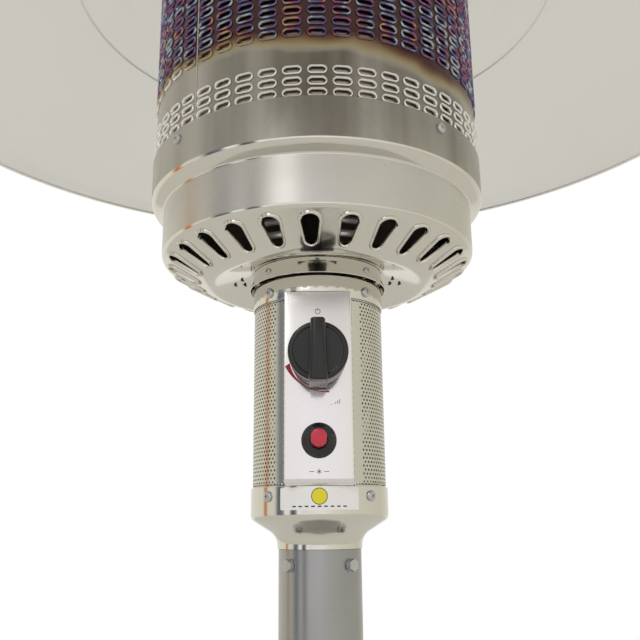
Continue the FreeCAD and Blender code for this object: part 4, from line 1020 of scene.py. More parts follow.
@dataclass
class BurnerBowl:
    """The bowl under the screen: a dish, a slotted cone, a brushed drum and a rolled shoulder."""

    seat: float = taken(top_of, "collar_ring")
    top: float = taken(top_of, "burner_bowl")
    band_radius: float = taken(reach_of, "burner_bowl")
    seat_radius: float = 44 * MM
    dish_edge: float = 52.6 * MM
    dish_drop: float = 11 * MM
    low_radius: float = 84 * MM
    drum_radius: float = 121.7 * MM
    cone_rise: float = 20.5 * MM
    drum_height: float = 37.5 * MM
    shoulder: float = 4 * MM
    wall: float = 1 * MM
    slots: int = 26
    slot_from: float = 90 * MM
    slot_to: float = 117.6 * MM
    slot_width: float = 15.8 * MM
    taper: float = 0.78
    phase: float = math.radians(-2.3)

    def tubes(self) -> Piece:
        """Two short pairs of tubes behind the slots on either side of the front one."""
        made = []
        for level in (self.seat + 3 * MM, self.seat + 13 * MM):
            outline = [(90 * MM + 2.4 * MM * math.cos(turn), level + 2.4 * MM * math.sin(turn))
                       for turn in (FULL_TURN * i / 12 for i in range(13))]
            for side in (-1, 1):
                tube = turned("inner_tube", outline, 12, gap=math.radians(173))
                tube.rotation_euler.z = math.pi + self.phase + side * FULL_TURN / self.slots
                settle(tube)
                made.append(tube)
        piece = join("bowl_inner_tubes", made)
        close_up(piece)
        smooth(piece)
        return fit_to_frame(piece, TUBE_STEEL, "zinc_steel")

    def eyelets(self) -> Piece:
        """Small eyelets in the dish, three on either side of the collar."""
        slope = math.atan2(self.dish_drop, self.low_radius - self.dish_edge)
        made = []
        for side in (-1, 1):
            for turn, radius in ((88, 60), (94, 66), (101, 60)):
                eye = turned("eyelet", rounded([
                    (0.9 * MM, 1.2 * MM, 0), (0.9 * MM, -0.5 * MM, 0.3 * MM),
                    (2.1 * MM, -0.5 * MM, 0.3 * MM), (2.1 * MM, 0.4 * MM, 0)], 3), 20)
                drop = (radius * MM - self.dish_edge) * math.tan(slope)
                eye.location = (0, -radius * MM, self.seat - drop)
                eye.rotation_euler.x = -slope
                settle(eye)
                eye.rotation_euler.z = side * math.radians(turn)
                settle(eye)
                made.append(eye)
        piece = join("dish_eyelets", made)
        close_up(piece)
        dress(piece, IRON, ZINC)
        dress_where(piece, 1, lambda spot, out: out.z < -0.2)
        return fit(piece, Body.FRAME, "zinc_steel")

    def build(self) -> Piece:
        """Turn the plain parts, punch the slotted cone and join them."""
        self.tubes()
        self.eyelets()
        low = self.seat - self.dish_drop
        corner = low + self.cone_rise
        shoulder = corner + self.drum_height
        slope = math.atan2(self.cone_rise, self.drum_radius - self.low_radius)
        first = self.low_radius + 5.45 * MM
        last = self.drum_radius - 2.35 * MM
        lift = math.tan(slope)
        cone_low = (first, low + (first - self.low_radius) * lift)
        cone_high = (last, low + (last - self.low_radius) * lift)
        across, along = 6, 4
        steps = self.slots * across
        dish = turned("dish", rounded([
            (self.seat_radius, self.seat, 0), (self.dish_edge, self.seat, 7 * MM),
            (self.low_radius, low, 14 * MM), (*cone_low, 0)], 8), steps)
        upper = turned("drum", rounded([
            (*cone_high, 0), (self.drum_radius, corner, 4.5 * MM),
            (self.drum_radius, shoulder, 1.6 * MM),
            (self.band_radius, shoulder + self.shoulder, 5.5 * MM),
            (self.band_radius, self.top, 0), (self.band_radius - self.wall, self.top, 0),
            (self.band_radius - self.wall, self.top - 14 * MM, 0)], 8), steps)
        radius = (first + last) / 2
        slant = (last - first) / math.cos(slope)
        rim = [(0.2 * MM, 0.9 * MM), (0.6 * MM, 0.7 * MM), (0.8 * MM, 0.1 * MM),
               (0.6 * MM, -0.6 * MM), (0.2 * MM, -2.4 * MM)]
        length = (self.slot_to - self.slot_from) / math.cos(slope)
        width = FULL_TURN * radius / self.slots
        cell = bordered_hole("slots", (width, slant), (self.slot_width, length),
                             (across, along), rim, self.taper)
        repeat(cell, self.slots, (width, 0, 0))
        shift_by(cell, x=-width * (self.slots - 1) / 2)
        level = (cone_low[1] + cone_high[1]) / 2
        turn = self.phase - math.pi / self.slots
        RolledSheet(radius, level, slope, turn).roll(cell)
        for part in (dish, upper):
            part.rotation_euler.z = turn
            settle(part)
        bowl = join("burner_bowl_shell", [dish, cell, upper])
        close_up(bowl)
        smooth(bowl, math.radians(40))
        dress(bowl, POLISHED, BRUSHED, BAND_STEEL)
        dress_where(bowl, 1, lambda spot, out: abs(out.z) < 0.12
                    and corner + 2 * MM < spot.z < self.top - 0.2 * MM
                    and not shoulder - 1 * MM < spot.z < shoulder + 7 * MM
                    and math.hypot(spot.x, spot.y) > self.drum_radius - 1 * MM)
        dress_where(bowl, 2, lambda spot, out: abs(out.z) < 0.12
                    and shoulder + 7 * MM <= spot.z < self.top - 0.2 * MM)
        return fit(bowl, Body.FRAME, "brushed_stainless", "burner_bowl")


# Polished rings and cup ----------------------------------------------------------------------

@dataclass
class HeadShells:
    """The polished cup on the post, the band at the sleeve's top and the flared collar."""

    cup_radius: float = taken(reach_of, "lower_cup")
    cup_foot: float = taken(foot_of, "lower_cup")
    cup_top: float = taken(top_of, "lower_cup")
    post_radius: float = taken(reach_of, "post")
    band_radius: float = taken(reach_of, "sleeve_top_band")
    band_foot: float = taken(foot_of, "sleeve_top_band")
    band_top: float = taken(top_of, "sleeve_top_band")
    flare_radius: float = taken(reach_of, "collar_ring")
    collar_foot: float = taken(foot_of, "collar_ring")
    collar_top: float = taken(top_of, "collar_ring")
    panel_half: float = taken(reach_of, "control_panel")
    wall: float = 0.9 * MM
    flare: float = 2.9 * MM

    def cup(self) -> Piece:
        """The cup: a neck, a flare and an upright wall with a turned-in lip."""
        neck = self.post_radius + 0.8 * MM
        outline = rounded([
            (neck, self.cup_foot, 0), (neck, self.cup_foot + 8.7 * MM, 12 * MM),
            (self.cup_radius, self.cup_foot + 20.7 * MM, 6 * MM),
            (self.cup_radius, self.cup_top, 0.3 * MM),
            (self.cup_radius - self.wall, self.cup_top, 0)], 10)
        piece = turned("cup_shell", outline, 128, self.wall)
        return fit_to_frame(piece, POLISHED, "polished_stainless", "lower_cup")

    def band(self) -> Piece:
        """The band round the sleeve's top, notched for the panel."""
        edge = self.band_radius - self.wall / 2
        notch = top_of("control_panel") + 0.1 * MM
        outline = rounded([
            (edge, self.band_foot, 0), (self.band_radius, self.band_foot, 0.4 * MM),
            (self.band_radius, notch, 0), (self.band_radius, self.band_top, 0.4 * MM),
            (self.band_radius - self.wall, self.band_top, 0)], 4)
        piece = turned("top_band_shell", outline, 128)
        with editing(piece):
            pick(piece, lambda spot, out: spot.y < 0 and spot.z < notch
                 and abs(spot.x) < self.panel_half - 1 * MM)
            bpy.ops.mesh.delete(type="FACE")
        modify(piece, "SOLIDIFY", thickness=self.wall, offset=-1, use_even_offset=True)
        smooth(piece)
        return fit_to_frame(piece, POLISHED, "polished_stainless", "sleeve_top_band")

    def collar(self) -> Piece:
        """The flared ring between the band and the bowl."""
        height = self.collar_top - self.collar_foot
        neck = self.flare_radius - self.flare
        outline = rounded([
            (self.flare_radius - self.wall, self.collar_foot, 0),
            (self.flare_radius, self.collar_foot, 0.4 * MM),
            (neck, self.collar_top - height / 4, 3 * MM),
            (neck, self.collar_top, 1 * MM), (neck - 7 * MM, self.collar_top, 0)], 8)
        piece = turned("collar_shell", outline, 128, self.wall)
        return fit_to_frame(piece, POLISHED, "polished_stainless", "collar_ring")

    def build(self) -> list[Piece]:
        """All three shells."""
        return [self.cup(), self.band(), self.collar()]


# Fasteners -----------------------------------------------------------------------------------

class Drive(Enum):
    """How a fastener is driven."""

    CROSS = "cross"
    HEX = "hex"


@dataclass
class FastenerRing:
    """A ring of fasteners round the post's axis, seated on a radius."""

    name: str
    node: str
    drive: Drive
    seat: float
    level: float
    head: float
    height: float
    first: float
    slot: str = "zinc_steel"
    body: Body = Body.FRAME
    count: int = 4

    def cross_head(self) -> Piece:
        """A domed head with a cross recess, standing up from the origin."""
        head = begin("screw", bpy.ops.mesh.primitive_cylinder_add, vertices=24,
                     radius=self.head, depth=self.height * 0.3,
                     location=(0, 0, self.height * 0.15))
        with editing(head):
            pick(head, lambda spot, out: out.z > 0.9)
            for width, rise in ((0.97, 0.25), (0.88, 0.22), (0.70, 0.15), (0.40, 0.08)):
                extrude(0, 0, self.height * rise)
                size = width if width == 0.97 else width / 0.97 ** 0.5
                bpy.ops.transform.resize(value=(size, size, 1))
        arms = []
        for turn in (0, math.pi / 2):
            arm = begin("arm", bpy.ops.mesh.primitive_cube_add, size=1,
                        stretch=(self.head * 1.05, self.head * 0.24, self.height),
                        location=(0, 0, self.height * 1.05), rotation=(0, 0, turn + 0.4))
            with editing(arm):
                pick(arm, lambda spot, out: out.z < -0.9)
                bpy.ops.transform.resize(value=(0.45, 0.45, 1))
            arms.append(arm)
        for arm in arms:
            modify(head, "BOOLEAN", object=arm, operation="DIFFERENCE", solver="EXACT")
            bpy.data.objects.remove(arm)
        return head

    def hex_head(self) -> Piece:
        """A washer and a six-sided head with its corners taken off."""
        washer = begin("washer", bpy.ops.mesh.primitive_cylinder_add, vertices=32,
                       radius=self.head * 0.98, depth=self.height * 0.16,
                       location=(0, 0, self.height * 0.08))
        nut = begin("hex", bpy.ops.mesh.primitive_cylinder_add, vertices=6,
                    radius=self.head * 0.96, depth=self.height * 0.84,
                    location=(0, 0, self.height * 0.58))
        modify(nut, "BEVEL", width=self.head * 0.07, segments=2)
        with editing(nut):
            pick(nut, lambda spot, out: out.z > 0.99)
            bpy.ops.mesh.inset(thickness=self.head * 0.16)
            bpy.ops.transform.translate(value=(0, 0, -self.height * 0.03))
        return join("screw", [washer, nut])

    def build(self) -> Piece:
        """One fastener, laid against its seat and copied round."""
        one = self.cross_head() if self.drive is Drive.CROSS else self.hex_head()
        one.rotation_euler.x = math.pi / 2
        one.location = (0, -self.seat, self.level)
        settle(one)
        turns = [self.first + 360 / self.count * i for i in range(self.count)]
        ring = join(self.name, copy_round(one, turns))
        smooth(ring, math.radians(32))
        dress(ring, ZINC)
        return fit(ring, self.body, self.slot, self.node)


# Controls ------------------------------------------------------------------------------------

@dataclass
class ControlPanel:
    """The upright panel with the knob's and the igniter's marks."""

    low: Vector = taken(low_corner, "control_panel")
    high: Vector = taken(high_corner, "control_panel")
    knob: Vector = taken(middle_of, "control_knob")
    igniter: Vector = taken(middle_of, "igniter_bezel")
    bend: float = 1.8 * MM
    foot_bend: float = 4.6 * MM
    ink: float = 0.06 * MM

    def plate(self) -> Piece:
        """The folded plate, open at the back."""
        size = self.high - self.low
        piece = begin("control_panel_plate", bpy.ops.mesh.primitive_cube_add, stretch=size,
                      size=1, location=(self.low + self.high) / 2)
        with editing(piece):
            pick(piece, lambda spot, out: spot.z < self.low.z + MERGE_GAP
                 and spot.y < self.low.y + MERGE_GAP, "EDGE")
            bpy.ops.mesh.bevel(offset=self.foot_bend, segments=6, affect="EDGES")
            pick(piece, lambda spot, out: spot.y < self.low.y + self.foot_bend
                 and (abs(spot.x) > self.high.x - MERGE_GAP
                      or spot.z > self.high.z - MERGE_GAP), "EDGE")
            bpy.ops.mesh.bevel(offset=self.bend, segments=3, affect="EDGES")
            pick(piece, lambda spot, out: out.y > 0.9)
            bpy.ops.mesh.delete(type="FACE")
        modify(piece, "SOLIDIFY", thickness=1 * MM, offset=-1, use_even_offset=True)
        smooth(piece, math.radians(28))
        return fit_to_frame(piece, PANEL_STEEL, "polished_stainless", "control_panel")

    def mark(self, piece: Piece, finish: Finish) -> Piece:
        """Lay a flat mark, drawn on X and Y, on the panel's face and dress it."""
        piece.rotation_euler.x = math.pi / 2
        piece.location.y = self.low.y
        settle(piece)
        modify(piece, "SOLIDIFY", thickness=self.ink, offset=0)
        return fit_to_frame(piece, finish, "label_film")

    def bar(self, x: float, z: float, width: float, height: float, turn: float = 0.0) -> Piece:
        """A short stroke centred at x and z on the panel."""
        return begin("stroke", bpy.ops.mesh.primitive_plane_add, size=1,
                     stretch=(width, height, 1), location=(x, z, 0), rotation=(0, 0, turn))

    def ring(self, x: float, z: float, radius: float, width: float) -> Piece:
        """A thin ring centred at x and z on the panel."""
        piece = begin("ring", bpy.ops.mesh.primitive_circle_add, vertices=32, radius=radius,
                      fill_type="NGON", location=(x, z, 0))
        with editing(piece):
            bpy.ops.mesh.inset(thickness=width)
            bpy.ops.mesh.delete(type="FACE")
        return piece

    def scale_arc(self) -> Piece:
        """The wedge of colour under the knob, from nine o'clock down to a point past six."""
        piece = begin("panel_scale_arc", bpy.ops.mesh.primitive_grid_add, size=1,
                      x_subdivisions=36, y_subdivisions=1)
        outer = (6.6 * MM, 9.5 * MM, 33.2 * MM, math.radians(206), math.radians(272))
        inner = (1.6 * MM, 3.4 * MM, 26.6 * MM, math.radians(196), math.radians(282))
        for point in piece.data.vertices:
            share = point.co.x + 0.5
            x, z, radius, start, end = outer if point.co.y > 0 else inner
            angle = start + (end - start) * share
            pull = 1 - (0.16 * (1 - share) if point.co.y < 0 else 0)
            point.co = (x + radius * pull * math.cos(angle),
                        self.knob.z + z + radius * pull * math.sin(angle), 0)
        return self.mark(piece, RED_INK)

    def build(self) -> list[Piece]:
        """The plate and its marks."""
        off = self.knob.z + 34.6 * MM
        low = self.knob.z - 30.5 * MM
        spark = self.igniter.z - 20.8 * MM
        line = 0.45 * MM
        strokes = [self.ring(0, off, 2 * MM, line), self.bar(0, off + 1.3 * MM, line, 2 * MM)]
        strokes += [self.bar((11.6 + 1.5 * i) * MM, low + (0.5 * i - 0.6) * MM, line,
                             (1.2 + i) * MM) for i in (-2, -1, 0, 1, 2)]
        strokes += [self.bar(0, spark, line, 3.6 * MM, turn)
                    for turn in (0, math.pi / 3, -math.pi / 3)]
        strokes += [self.bar(side * 5 * MM, spark, 3.4 * MM, line) for side in (-1, 1)]
        return [self.plate(), self.scale_arc(),
                self.mark(join("panel_marks", strokes), GREY_INK)]


@dataclass
class ControlKnob:
    """The gas knob: a skirted disc with a grip bar across it."""

    low: Vector = taken(low_corner, "control_knob")
    high: Vector = taken(high_corner, "control_knob")
    grip_width: float = 10.7 * MM
    grip_rise: float = 8.5 * MM
    stem_radius: float = 3.5 * MM

    def build(self) -> list[Piece]:
        """The knob and its pointer mark."""
        radius = self.high.x
        level = (self.low.z + self.high.z) / 2
        back = -self.high.y
        face = -self.low.y - self.grip_rise
        length = self.high.z - self.low.z
        disc = turned("disc", rounded([
            (self.stem_radius, back, 0), (radius - 0.8 * MM, back, 0.8 * MM),
            (radius - 2.2 * MM, face - 9 * MM, 1 * MM),
            (radius - 0.1 * MM, face - 6.5 * MM, 1 * MM),
            (radius, face - 0.2 * MM, 1.9 * MM), (radius - 3.0 * MM, face, 0.8 * MM),
            (radius - 3.8 * MM, face - 0.5 * MM, 1.5 * MM), (0, face - 0.9 * MM, 0)], 6), 96)
        face_front(disc, level)
        depth = face + self.grip_rise - back - 1 * MM
        grip = begin("grip", bpy.ops.mesh.primitive_cube_add, size=1,
                     stretch=(self.grip_width, depth, length),
                     location=(0, -face - self.grip_rise + depth / 2, level))
        with editing(grip):
            for side, width in ((1, 0.92), (-1, 1.2)):
                pick(grip, lambda spot, out: (spot.z - level) * side > 0, "VERT")
                bpy.ops.transform.resize(value=(width, 1, 1))
            pick(grip, lambda spot, out: abs(spot.x) > self.grip_width * 0.4
                 and spot.y < -face - self.grip_rise + 0.1 * MM, "EDGE")
            bpy.ops.mesh.bevel(offset=3.1 * MM, segments=6, affect="EDGES")
            pick(grip, lambda spot, out: abs(spot.z - level) > length * 0.49
                 and spot.y < -face - self.grip_rise + 3.2 * MM, "EDGE")
            bpy.ops.mesh.bevel(offset=1.3 * MM, segments=4, affect="EDGES")
        knob = join("gas_knob", [disc, grip])
        smooth(knob, math.radians(30))
        dress(knob, BLACK_PLASTIC)
        pointer = begin("knob_pointer", bpy.ops.mesh.primitive_cube_add, size=1,
                        stretch=(1.6 * MM, 3 * MM, 0.5 * MM),
                        location=(0.6 * MM, -face - 3.4 * MM, self.high.z - 0.22 * MM))
        modify(pointer, "BEVEL", width=0.12 * MM, segments=2)
        dress(pointer, RED_PLASTIC)
        return [fit(knob, Body.KNOB, "black_plastic", "control_knob"),
                fit(pointer, Body.KNOB, "red_plastic")]


@dataclass
class Igniter:
    """The igniter's bezel and its push button."""

    bezel_low: Vector = taken(low_corner, "igniter_bezel")
    bezel_high: Vector = taken(high_corner, "igniter_bezel")
    button_low: Vector = taken(low_corner, "igniter_button")
    button_high: Vector = taken(high_corner, "igniter_button")
    gap: float = 0.3 * MM

    def build(self) -> list[Piece]:
        """The bezel and the button."""
        level = (self.bezel_low.z + self.bezel_high.z) / 2
        radius = self.bezel_high.x
        bore = self.button_high.x + self.gap
        back, face = -self.bezel_high.y, -self.bezel_low.y
        bezel = turned("igniter_bezel_ring", rounded([
            (bore, back, 0), (radius, back, 0), (radius, back + 1.9 * MM, 0.7 * MM),
            (radius - 3.4 * MM, face, 1.2 * MM), (bore + 0.6 * MM, face, 0.4 * MM),
            (bore, face - 0.8 * MM, 0), (bore, back, 0)], 5), 64)
        face_front(bezel, level)
        dress(bezel, BLACK_PLASTIC)
        start, end = -self.button_high.y, -self.button_low.y
        button = turned("igniter_push_button", rounded([
            (0, start, 0), (bore - self.gap, start, 0), (bore - self.gap, end - 0.8 * MM, 1.1 * MM),
            (0, end, 0)], 6), 64)
        face_front(button, level)
        dress(button, RED_PLASTIC)
        return [fit(bezel, Body.FRAME, "black_plastic", "igniter_bezel"),
                fit(button, Body.PLUNGER, "red_plastic", "igniter_button")]


@dataclass
class CupLabel:
    """The plain film label round the cup's front."""

    radius: float = taken(front_of, "panel_label")
    low: float = taken(foot_of, "panel_label")
    high: float = taken(top_of, "panel_label")
    half_width: float = taken(reach_of, "panel_label")
    film: float = 0.12 * MM

    def wrap(self, piece: Piece, lift: float) -> Piece:
        """Roll a flat piece onto the cup, a little proud of it."""
        RolledSheet(self.radius - self.film + lift, self.low).roll(piece)
        return piece

    def build(self) -> list[Piece]:
        """The film, its round spot and a row of plain dashes."""
        width = 2 * math.asin(self.half_width / self.radius) * self.radius
        height = self.high - self.low
        film = begin("cup_label_film", bpy.ops.mesh.primitive_grid_add, size=1,
                     stretch=(width, height, 1), x_subdivisions=32, y_subdivisions=6,
                     location=(0, height / 2, 0))
        with editing(film, "VERT"):
            pick(film, lambda spot, out: abs(spot.x) > width * 0.499
                 and abs(spot.y - height / 2) > height * 0.499, "VERT")
            bpy.ops.mesh.bevel(offset=1.1 * MM, segments=4, affect="VERTICES")
        self.wrap(film, 0.0)
        spot = begin("label_spot", bpy.ops.mesh.primitive_circle_add, vertices=48,
                     radius=5.6 * MM, fill_type="NGON", location=(0, height - 6 * MM, 0))
        with editing(spot):
            for ring in (0.5, 1.2, 1.3, 1.3):
                bpy.ops.mesh.inset(thickness=ring * MM)
        self.wrap(spot, 0.05 * MM)
        dashes = []
        for i in range(9):
            dashes.append(begin("dash", bpy.ops.mesh.primitive_grid_add, size=1,
                                stretch=(2.5 * MM, 0.9 * MM, 1), x_subdivisions=3,
                                y_subdivisions=1, location=((i - 4) * 4.4 * MM, 2.3 * MM, 0)))
        row = self.wrap(join("label_dashes", dashes), 0.05 * MM)
        for piece, finish in ((film, LABEL_FILM), (spot, YELLOW_INK), (row, NAVY_INK)):
            dress(piece, finish, NAVY_INK)
            smooth(piece)
        dress_where(spot, 1, lambda at, out: math.hypot(
            math.atan2(at.x, -at.y) * self.radius, at.z - self.high + 6 * MM) > 5.2 * MM)
        return [fit(film, Body.FRAME, "label_film", "panel_label"),
                fit(spot, Body.FRAME, "label_film"), fit(row, Body.FRAME, "label_film")]


# Reflector -----------------------------------------------------------------------------------

@dataclass
class Reflector:
    """The spun dome over the burner, with a bead, a crease and a rolled rim."""

    radius: float = taken(reach_of, "reflector")
    foot: float = taken(foot_of, "reflector")
    top: float = taken(top_of, "reflector")
    dome: float = 1300 * MM
    flange: float = 12.6 * MM
    bead: float = 201.6 * MM
    wall: float = 1 * MM

    def level(self, radius: float) -> float:
        """The dome's height at a radius."""
        return self.top - radius * radius / (2 * self.dome)

    def build(self) -> Piece:
        """Turn the dome and dress it."""
        crease = self.radius - self.flange
        rings = [crease * share / 14 for share in range(14)]
        outline = [(ring, self.level(ring)) for ring in rings if abs(ring - self.bead) > 8 * MM]
        bead = [(self.bead + step * MM, self.level(self.bead + step * MM) + rise * MM)
                for step, rise in ((-4, 0), (-3, 0.1), (-2.4, 1.1), (-1.4, 1.6), (1.4, 1.6),
                                   (2.4, 1.1), (3, 0.1), (4, 0))]
        outline = sorted(outline + bead)
        hem = 1.5 * MM
        outline += rounded([
            (crease - 6 * MM, self.level(crease - 6 * MM), 0),
            (crease, self.level(crease), 1.5 * MM), (self.radius, self.foot + hem, hem * 0.6),
            (self.radius - 0.1 * MM, self.foot, hem * 0.4),
            (self.radius - 2 * hem, self.foot + 0.2 * MM, hem * 0.3),
            (self.radius - 2 * hem, self.foot + hem, 0)], 4)
        piece = turned("reflector_dome", outline, 160, self.wall)
        return fit_to_frame(piece, ALUMINIUM, "reflector_aluminium", "reflector")


# Carried-over pieces -------------------------------------------------------------------------

CARRIED: dict[Finish, tuple[str, ...]] = {
    POWDER_COAT: ("base_plate", "support_bracket_1", "support_bracket_2", "support_bracket_3",
                  "wheel_bracket", "post_flange"),
    RUBBER: ("base_feet", "wheel_tyre_left", "wheel_tyre_right"),
    WHEEL_PLASTIC: ("wheel_hub_left", "wheel_hub_right", "igniter_body"),
    ZINC: ("bracket_base_bolts", "bracket_flange_bolts", "wheel_axle", "wheel_bracket_bolts",
           "knob_stem", "valve_thrust_collar", "igniter_spring", "valve_bracket", "tilt_switch",
           "thermocouple", "pilot_bracket", "reflector_studs", "stud_spacers", "wing_nuts"),
    POST_STEEL: ("post",),
    INNER_STEEL: ("neck_sleeve", "venturi", "burner_feed_pipe"),
    BRUSHED: ("tank_cover", "tank_cover_top"),
    BRASS: ("gas_tube", "inlet_fitting", "gas_valve_body", "burner_jet", "pilot_tube",
            "pilot_burner"),
    IRON: ("burner_head", "burner_plate"),
    ALUMINIUM: ("emitter_top_plate",),
    CERAMIC: ("igniter_electrode",),
}


def dress_carried() -> None:
    """Give each CAD node that stays its finish."""
    for finish, nodes in CARRIED.items():
        for name in nodes:
            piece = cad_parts[name]
            for i in range(max(1, len(piece.material_slots))):
                if i < len(piece.material_slots):
                    piece.material_slots[i].material = paint(finish)
                else:
                    piece.data.materials.append(paint(finish))


# Studio --------------------------------------------------------------------------------------

# Tones round the room at half their strength: by the knob, by the drum and above it.
LOW_BELT = (
    (-180, (0.43, 0.42, 0.40)), (-125, (0.41, 0.40, 0.35)), (-106, (0.40, 0.39, 0.34)),
    (-102, (0.30, 0.11, 0.03)), (-98, (0.30, 0.11, 0.03)), (-94, (0.40, 0.39, 0.34)),
    (-78, (0.38, 0.37, 0.33)), (-72, (0.06, 0.065, 0.08)), (-62, (0.10, 0.11, 0.135)),
    (-58, (0.48, 0.48, 0.49)), (-50, (0.45, 0.45, 0.46)), (-47, (0.04, 0.04, 0.04)),
    (-39, (0.10, 0.095, 0.09)), (-36, (0.50, 0.50, 0.50)), (-26, (0.44, 0.43, 0.42)),
    (-8, (0.47, 0.455, 0.46)), (8, (0.47, 0.455, 0.46)), (22, (0.42, 0.41, 0.37)),
    (60, (0.37, 0.365, 0.32)), (120, (0.33, 0.32, 0.27)), (180, (0.43, 0.42, 0.40)))
GROUND_BELT = (
    (-180, (0.40, 0.39, 0.36)), (-110, (0.38, 0.36, 0.32)), (-104, (0.28, 0.10, 0.03)),
    (-96, (0.28, 0.10, 0.03)), (-90, (0.20, 0.05, 0.04)), (-84, (0.36, 0.35, 0.31)),
    (-74, (0.06, 0.065, 0.08)), (-62, (0.10, 0.11, 0.135)), (-56, (0.50, 0.50, 0.52)),
    (-50, (0.06, 0.06, 0.06)), (-42, (0.48, 0.48, 0.50)), (-30, (0.10, 0.09, 0.08)),
    (-24, (0.45, 0.44, 0.42)), (-18, (0.30, 0.29, 0.27)), (-14, (0.02, 0.02, 0.02)),
    (14, (0.02, 0.02, 0.02)), (18, (0.36, 0.34, 0.33)), (40, (0.40, 0.39, 0.36)),
    (58, (0.16, 0.11, 0.06)), (78, (0.10, 0.07, 0.04)), (90, (0.34, 0.33, 0.28)),
    (180, (0.40, 0.39, 0.36)))
MIDDLE_BELT = (
    (-180, (0.42, 0.41, 0.39)), (-120, (0.30, 0.285, 0.25)), (-80, (0.30, 0.285, 0.25)),
    (-45, (0.35, 0.34, 0.31)), (-33, (0.42, 0.41, 0.39)), (-29, (1.0, 1.0, 0.98)),
    (-17, (1.0, 1.0, 0.98)), (-12, (0.46, 0.45, 0.43)), (10, (0.38, 0.36, 0.345)),
    (50, (0.42, 0.405, 0.37)), (100, (0.40, 0.385, 0.34)), (140, (0.31, 0.30, 0.25)),
    (180, (0.42, 0.41, 0.39)))
HIGH_BELT = (
    (-180, (0.36, 0.36, 0.34)), (-110, (0.28, 0.28, 0.25)), (-70, (0.34, 0.34, 0.32)),
    (-45, (0.22, 0.21, 0.18)), (-22, (0.27, 0.26, 0.22)), (-9, (0.045, 0.04, 0.03)),
    (7, (0.035, 0.03, 0.025)), (20, (0.14, 0.13, 0.105)), (50, (0.25, 0.24, 0.20)),
    (74, (0.27, 0.25, 0.21)), (84, (0.09, 0.07, 0.05)), (98, (0.23, 0.22, 0.19)),
    (180, (0.36, 0.36, 0.34)))
CEILING = (0.47, 0.465, 0.45)
BELT_STRENGTH = 2.0
# Where each belt gives way to the next: the sine of the height angle at the start and the end.
BELT_EDGES = ((-0.3, -0.2), (0.31, 0.36), (0.42, 0.48), (0.62, 0.8))


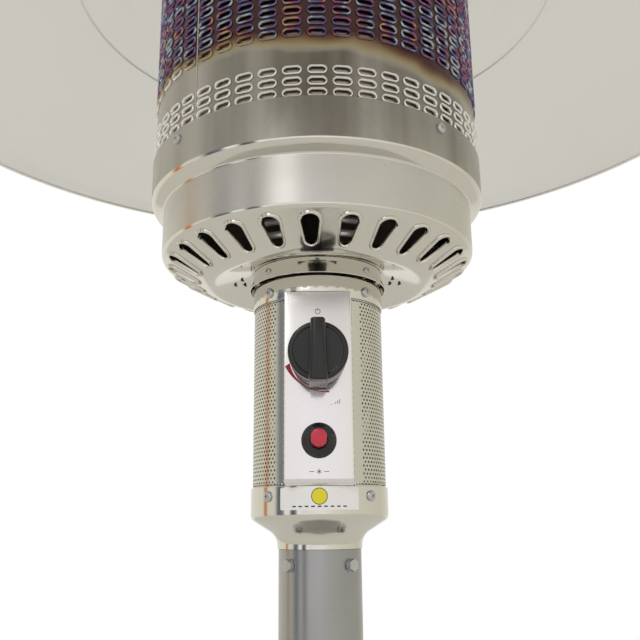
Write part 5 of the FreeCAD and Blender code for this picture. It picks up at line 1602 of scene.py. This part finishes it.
@dataclass
class Studio:
    """The camera, the lights, the pale floor and the surroundings that the steel reflects."""

    eye: Colour = (0.0, -0.587, 1.735)
    pitch: float = math.radians(90 + 14.77)
    roll: float = -0.00945
    lens: float = 43.65
    shift: float = 0.00345

    def camera(self) -> None:
        """The camera, a little below the burner and looking up at it."""
        lens = bpy.data.cameras.new("camera")
        lens.lens = self.lens
        lens.sensor_width = 36
        lens.shift_x = self.shift
        lens.clip_start = 0.02
        eye = bpy.data.objects.new("camera", lens)
        eye.rotation_mode = "XYZ"
        eye.location = self.eye
        aim = Vector((self.pitch, 0, 0))
        eye.rotation_euler = aim
        turn = eye.rotation_euler.to_matrix() @ Vector((0, 0, 1))
        spin = Matrix.Rotation(self.roll, 3, turn)
        eye.rotation_euler = (spin @ eye.rotation_euler.to_matrix()).to_euler()
        bpy.context.scene.collection.objects.link(eye)
        bpy.context.scene.camera = eye

    def softbox(self, name: str, spot: Colour, size: Point, power: float,
                colour: Colour = (1, 1, 1)) -> None:
        """A large soft light that faces the heater's head."""
        lamp = bpy.data.lights.new(name, "AREA")
        lamp.shape = "RECTANGLE"
        lamp.size, lamp.size_y = size
        lamp.energy = power
        lamp.color = colour
        light = bpy.data.objects.new(name, lamp)
        light.location = spot
        aim = Vector((0, 0, 1.8)) - Vector(spot)
        light.rotation_euler = aim.to_track_quat("-Z", "Y").to_euler()
        bpy.context.scene.collection.objects.link(light)

    def wall(self, tree: bpy.types.NodeTree, turn: bpy.types.NodeSocket,
             stops: tuple[tuple[float, Colour], ...]) -> bpy.types.NodeSocket:
        """One belt of the surroundings: tones by the angle right of the front, in degrees."""
        ramp = node(tree, "ValToRGB", {0: turn})
        set_ramp(ramp.color_ramp, by_angle(stops))
        return ramp.outputs["Color"]

    def surroundings(self) -> None:
        """A white room for the camera, with softer tones where the steel reflects it."""
        world = bpy.data.worlds.new("studio")
        world.use_nodes = True
        bpy.context.scene.world = world
        tree = world.node_tree
        tree.nodes.clear()
        way = node(tree, "TexCoord").outputs["Generated"]
        parts = node(tree, "SeparateXYZ", {0: way})
        turn = azimuth(tree, parts)
        ground, low, middle_belt, high = (
            self.wall(tree, turn, stops)
            for stops in (GROUND_BELT, LOW_BELT, MIDDLE_BELT, HIGH_BELT))
        tone = ground
        for (start, end), belt in zip(BELT_EDGES, (low, middle_belt, high, solid(CEILING))):
            tone = blend(tree, spread(tree, parts.outputs["Z"], start, end), tone, belt)
        reflected = node(tree, "Background", {"Color": tone, "Strength": BELT_STRENGTH})
        seen = node(tree, "Background", {"Color": solid((1.0, 1.0, 1.0)), "Strength": 1.0})
        to_camera = node(tree, "LightPath").outputs["Is Camera Ray"]
        mixed = node(tree, "MixShader", {0: to_camera, 1: reflected.outputs[0],
                                         2: seen.outputs[0]})
        node(tree, "OutputWorld", {"Surface": mixed.outputs[0]})

    def floor(self) -> None:
        """A wide pale floor."""
        piece = begin("floor", bpy.ops.mesh.primitive_circle_add, vertices=96, radius=7.0,
                      fill_type="NGON")
        dress(piece, Finish("floor_paint", (0.80, 0.79, 0.76), (0.77, 0.76, 0.73), 0.7, 0.1, 3.0,
                            metallic=0.0))

    def build(self) -> None:
        """Set up the studio."""
        self.camera()
        self.surroundings()
        self.floor()
        self.softbox("fill_softbox", (-0.9, -2.4, 3.6), (0.9, 0.4), 9)
        bpy.context.scene.view_settings.view_transform = "Standard"
        bpy.context.scene.view_settings.look = "None"


def fasteners() -> list[FastenerRing]:
    """Every visible ring of screws and bolts, with its place from the frame."""
    sleeve_turn = 45.0
    bowl_turn = -48.6
    cup, band = reach_of("lower_cup"), reach_of("sleeve_top_band")
    collar = reach_of("collar_ring") - 1.9 * MM
    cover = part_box("tank_cover_screws")
    return [
        FastenerRing("cup_screw_heads", "cup_screws", Drive.CROSS, cup,
                     middle_of("cup_screws").z, 3.8 * MM, 2.2 * MM, sleeve_turn),
        FastenerRing("band_screw_heads", "top_band_screws", Drive.CROSS, band,
                     middle_of("top_band_screws").z, 3.8 * MM, 2.2 * MM, sleeve_turn),
        FastenerRing("collar_screw_heads", "collar_ring_screws", Drive.CROSS, collar,
                     middle_of("collar_ring_screws").z, 2.6 * MM, 2.0 * MM, sleeve_turn),
        FastenerRing("bowl_screw_heads", "bowl_screws", Drive.CROSS, reach_of("burner_bowl"),
                     middle_of("bowl_screws").z, 3.8 * MM, 2.2 * MM, bowl_turn),
        FastenerRing("cover_screw_heads", "tank_cover_screws", Drive.CROSS,
                     reach_of("tank_cover_top"), (cover[0].z + cover[1].z) / 2, 3.2 * MM, 2.0 * MM,
                     sleeve_turn, body=Body.COVER),
        FastenerRing("post_bolt_heads", "post_bolts", Drive.HEX, reach_of("post"),
                     middle_of("post_bolts").z, 4.7 * MM, 3.9 * MM, sleeve_turn),
    ]


def main() -> None:
    """Build the heater's visible pieces in order."""
    logging.basicConfig(level=logging.INFO, format="%(message)s")
    make_groups()
    Studio().build()
    EmitterScreen().build()
    ControlSleeve().build()
    BurnerBowl().build()
    HeadShells().build()
    ControlPanel().build()
    ControlKnob().build()
    Igniter().build()
    CupLabel().build()
    Reflector().build()
    for ring in fasteners():
        ring.build()
    dress_carried()
    put_down()


if __name__ == "__main__":
    main()
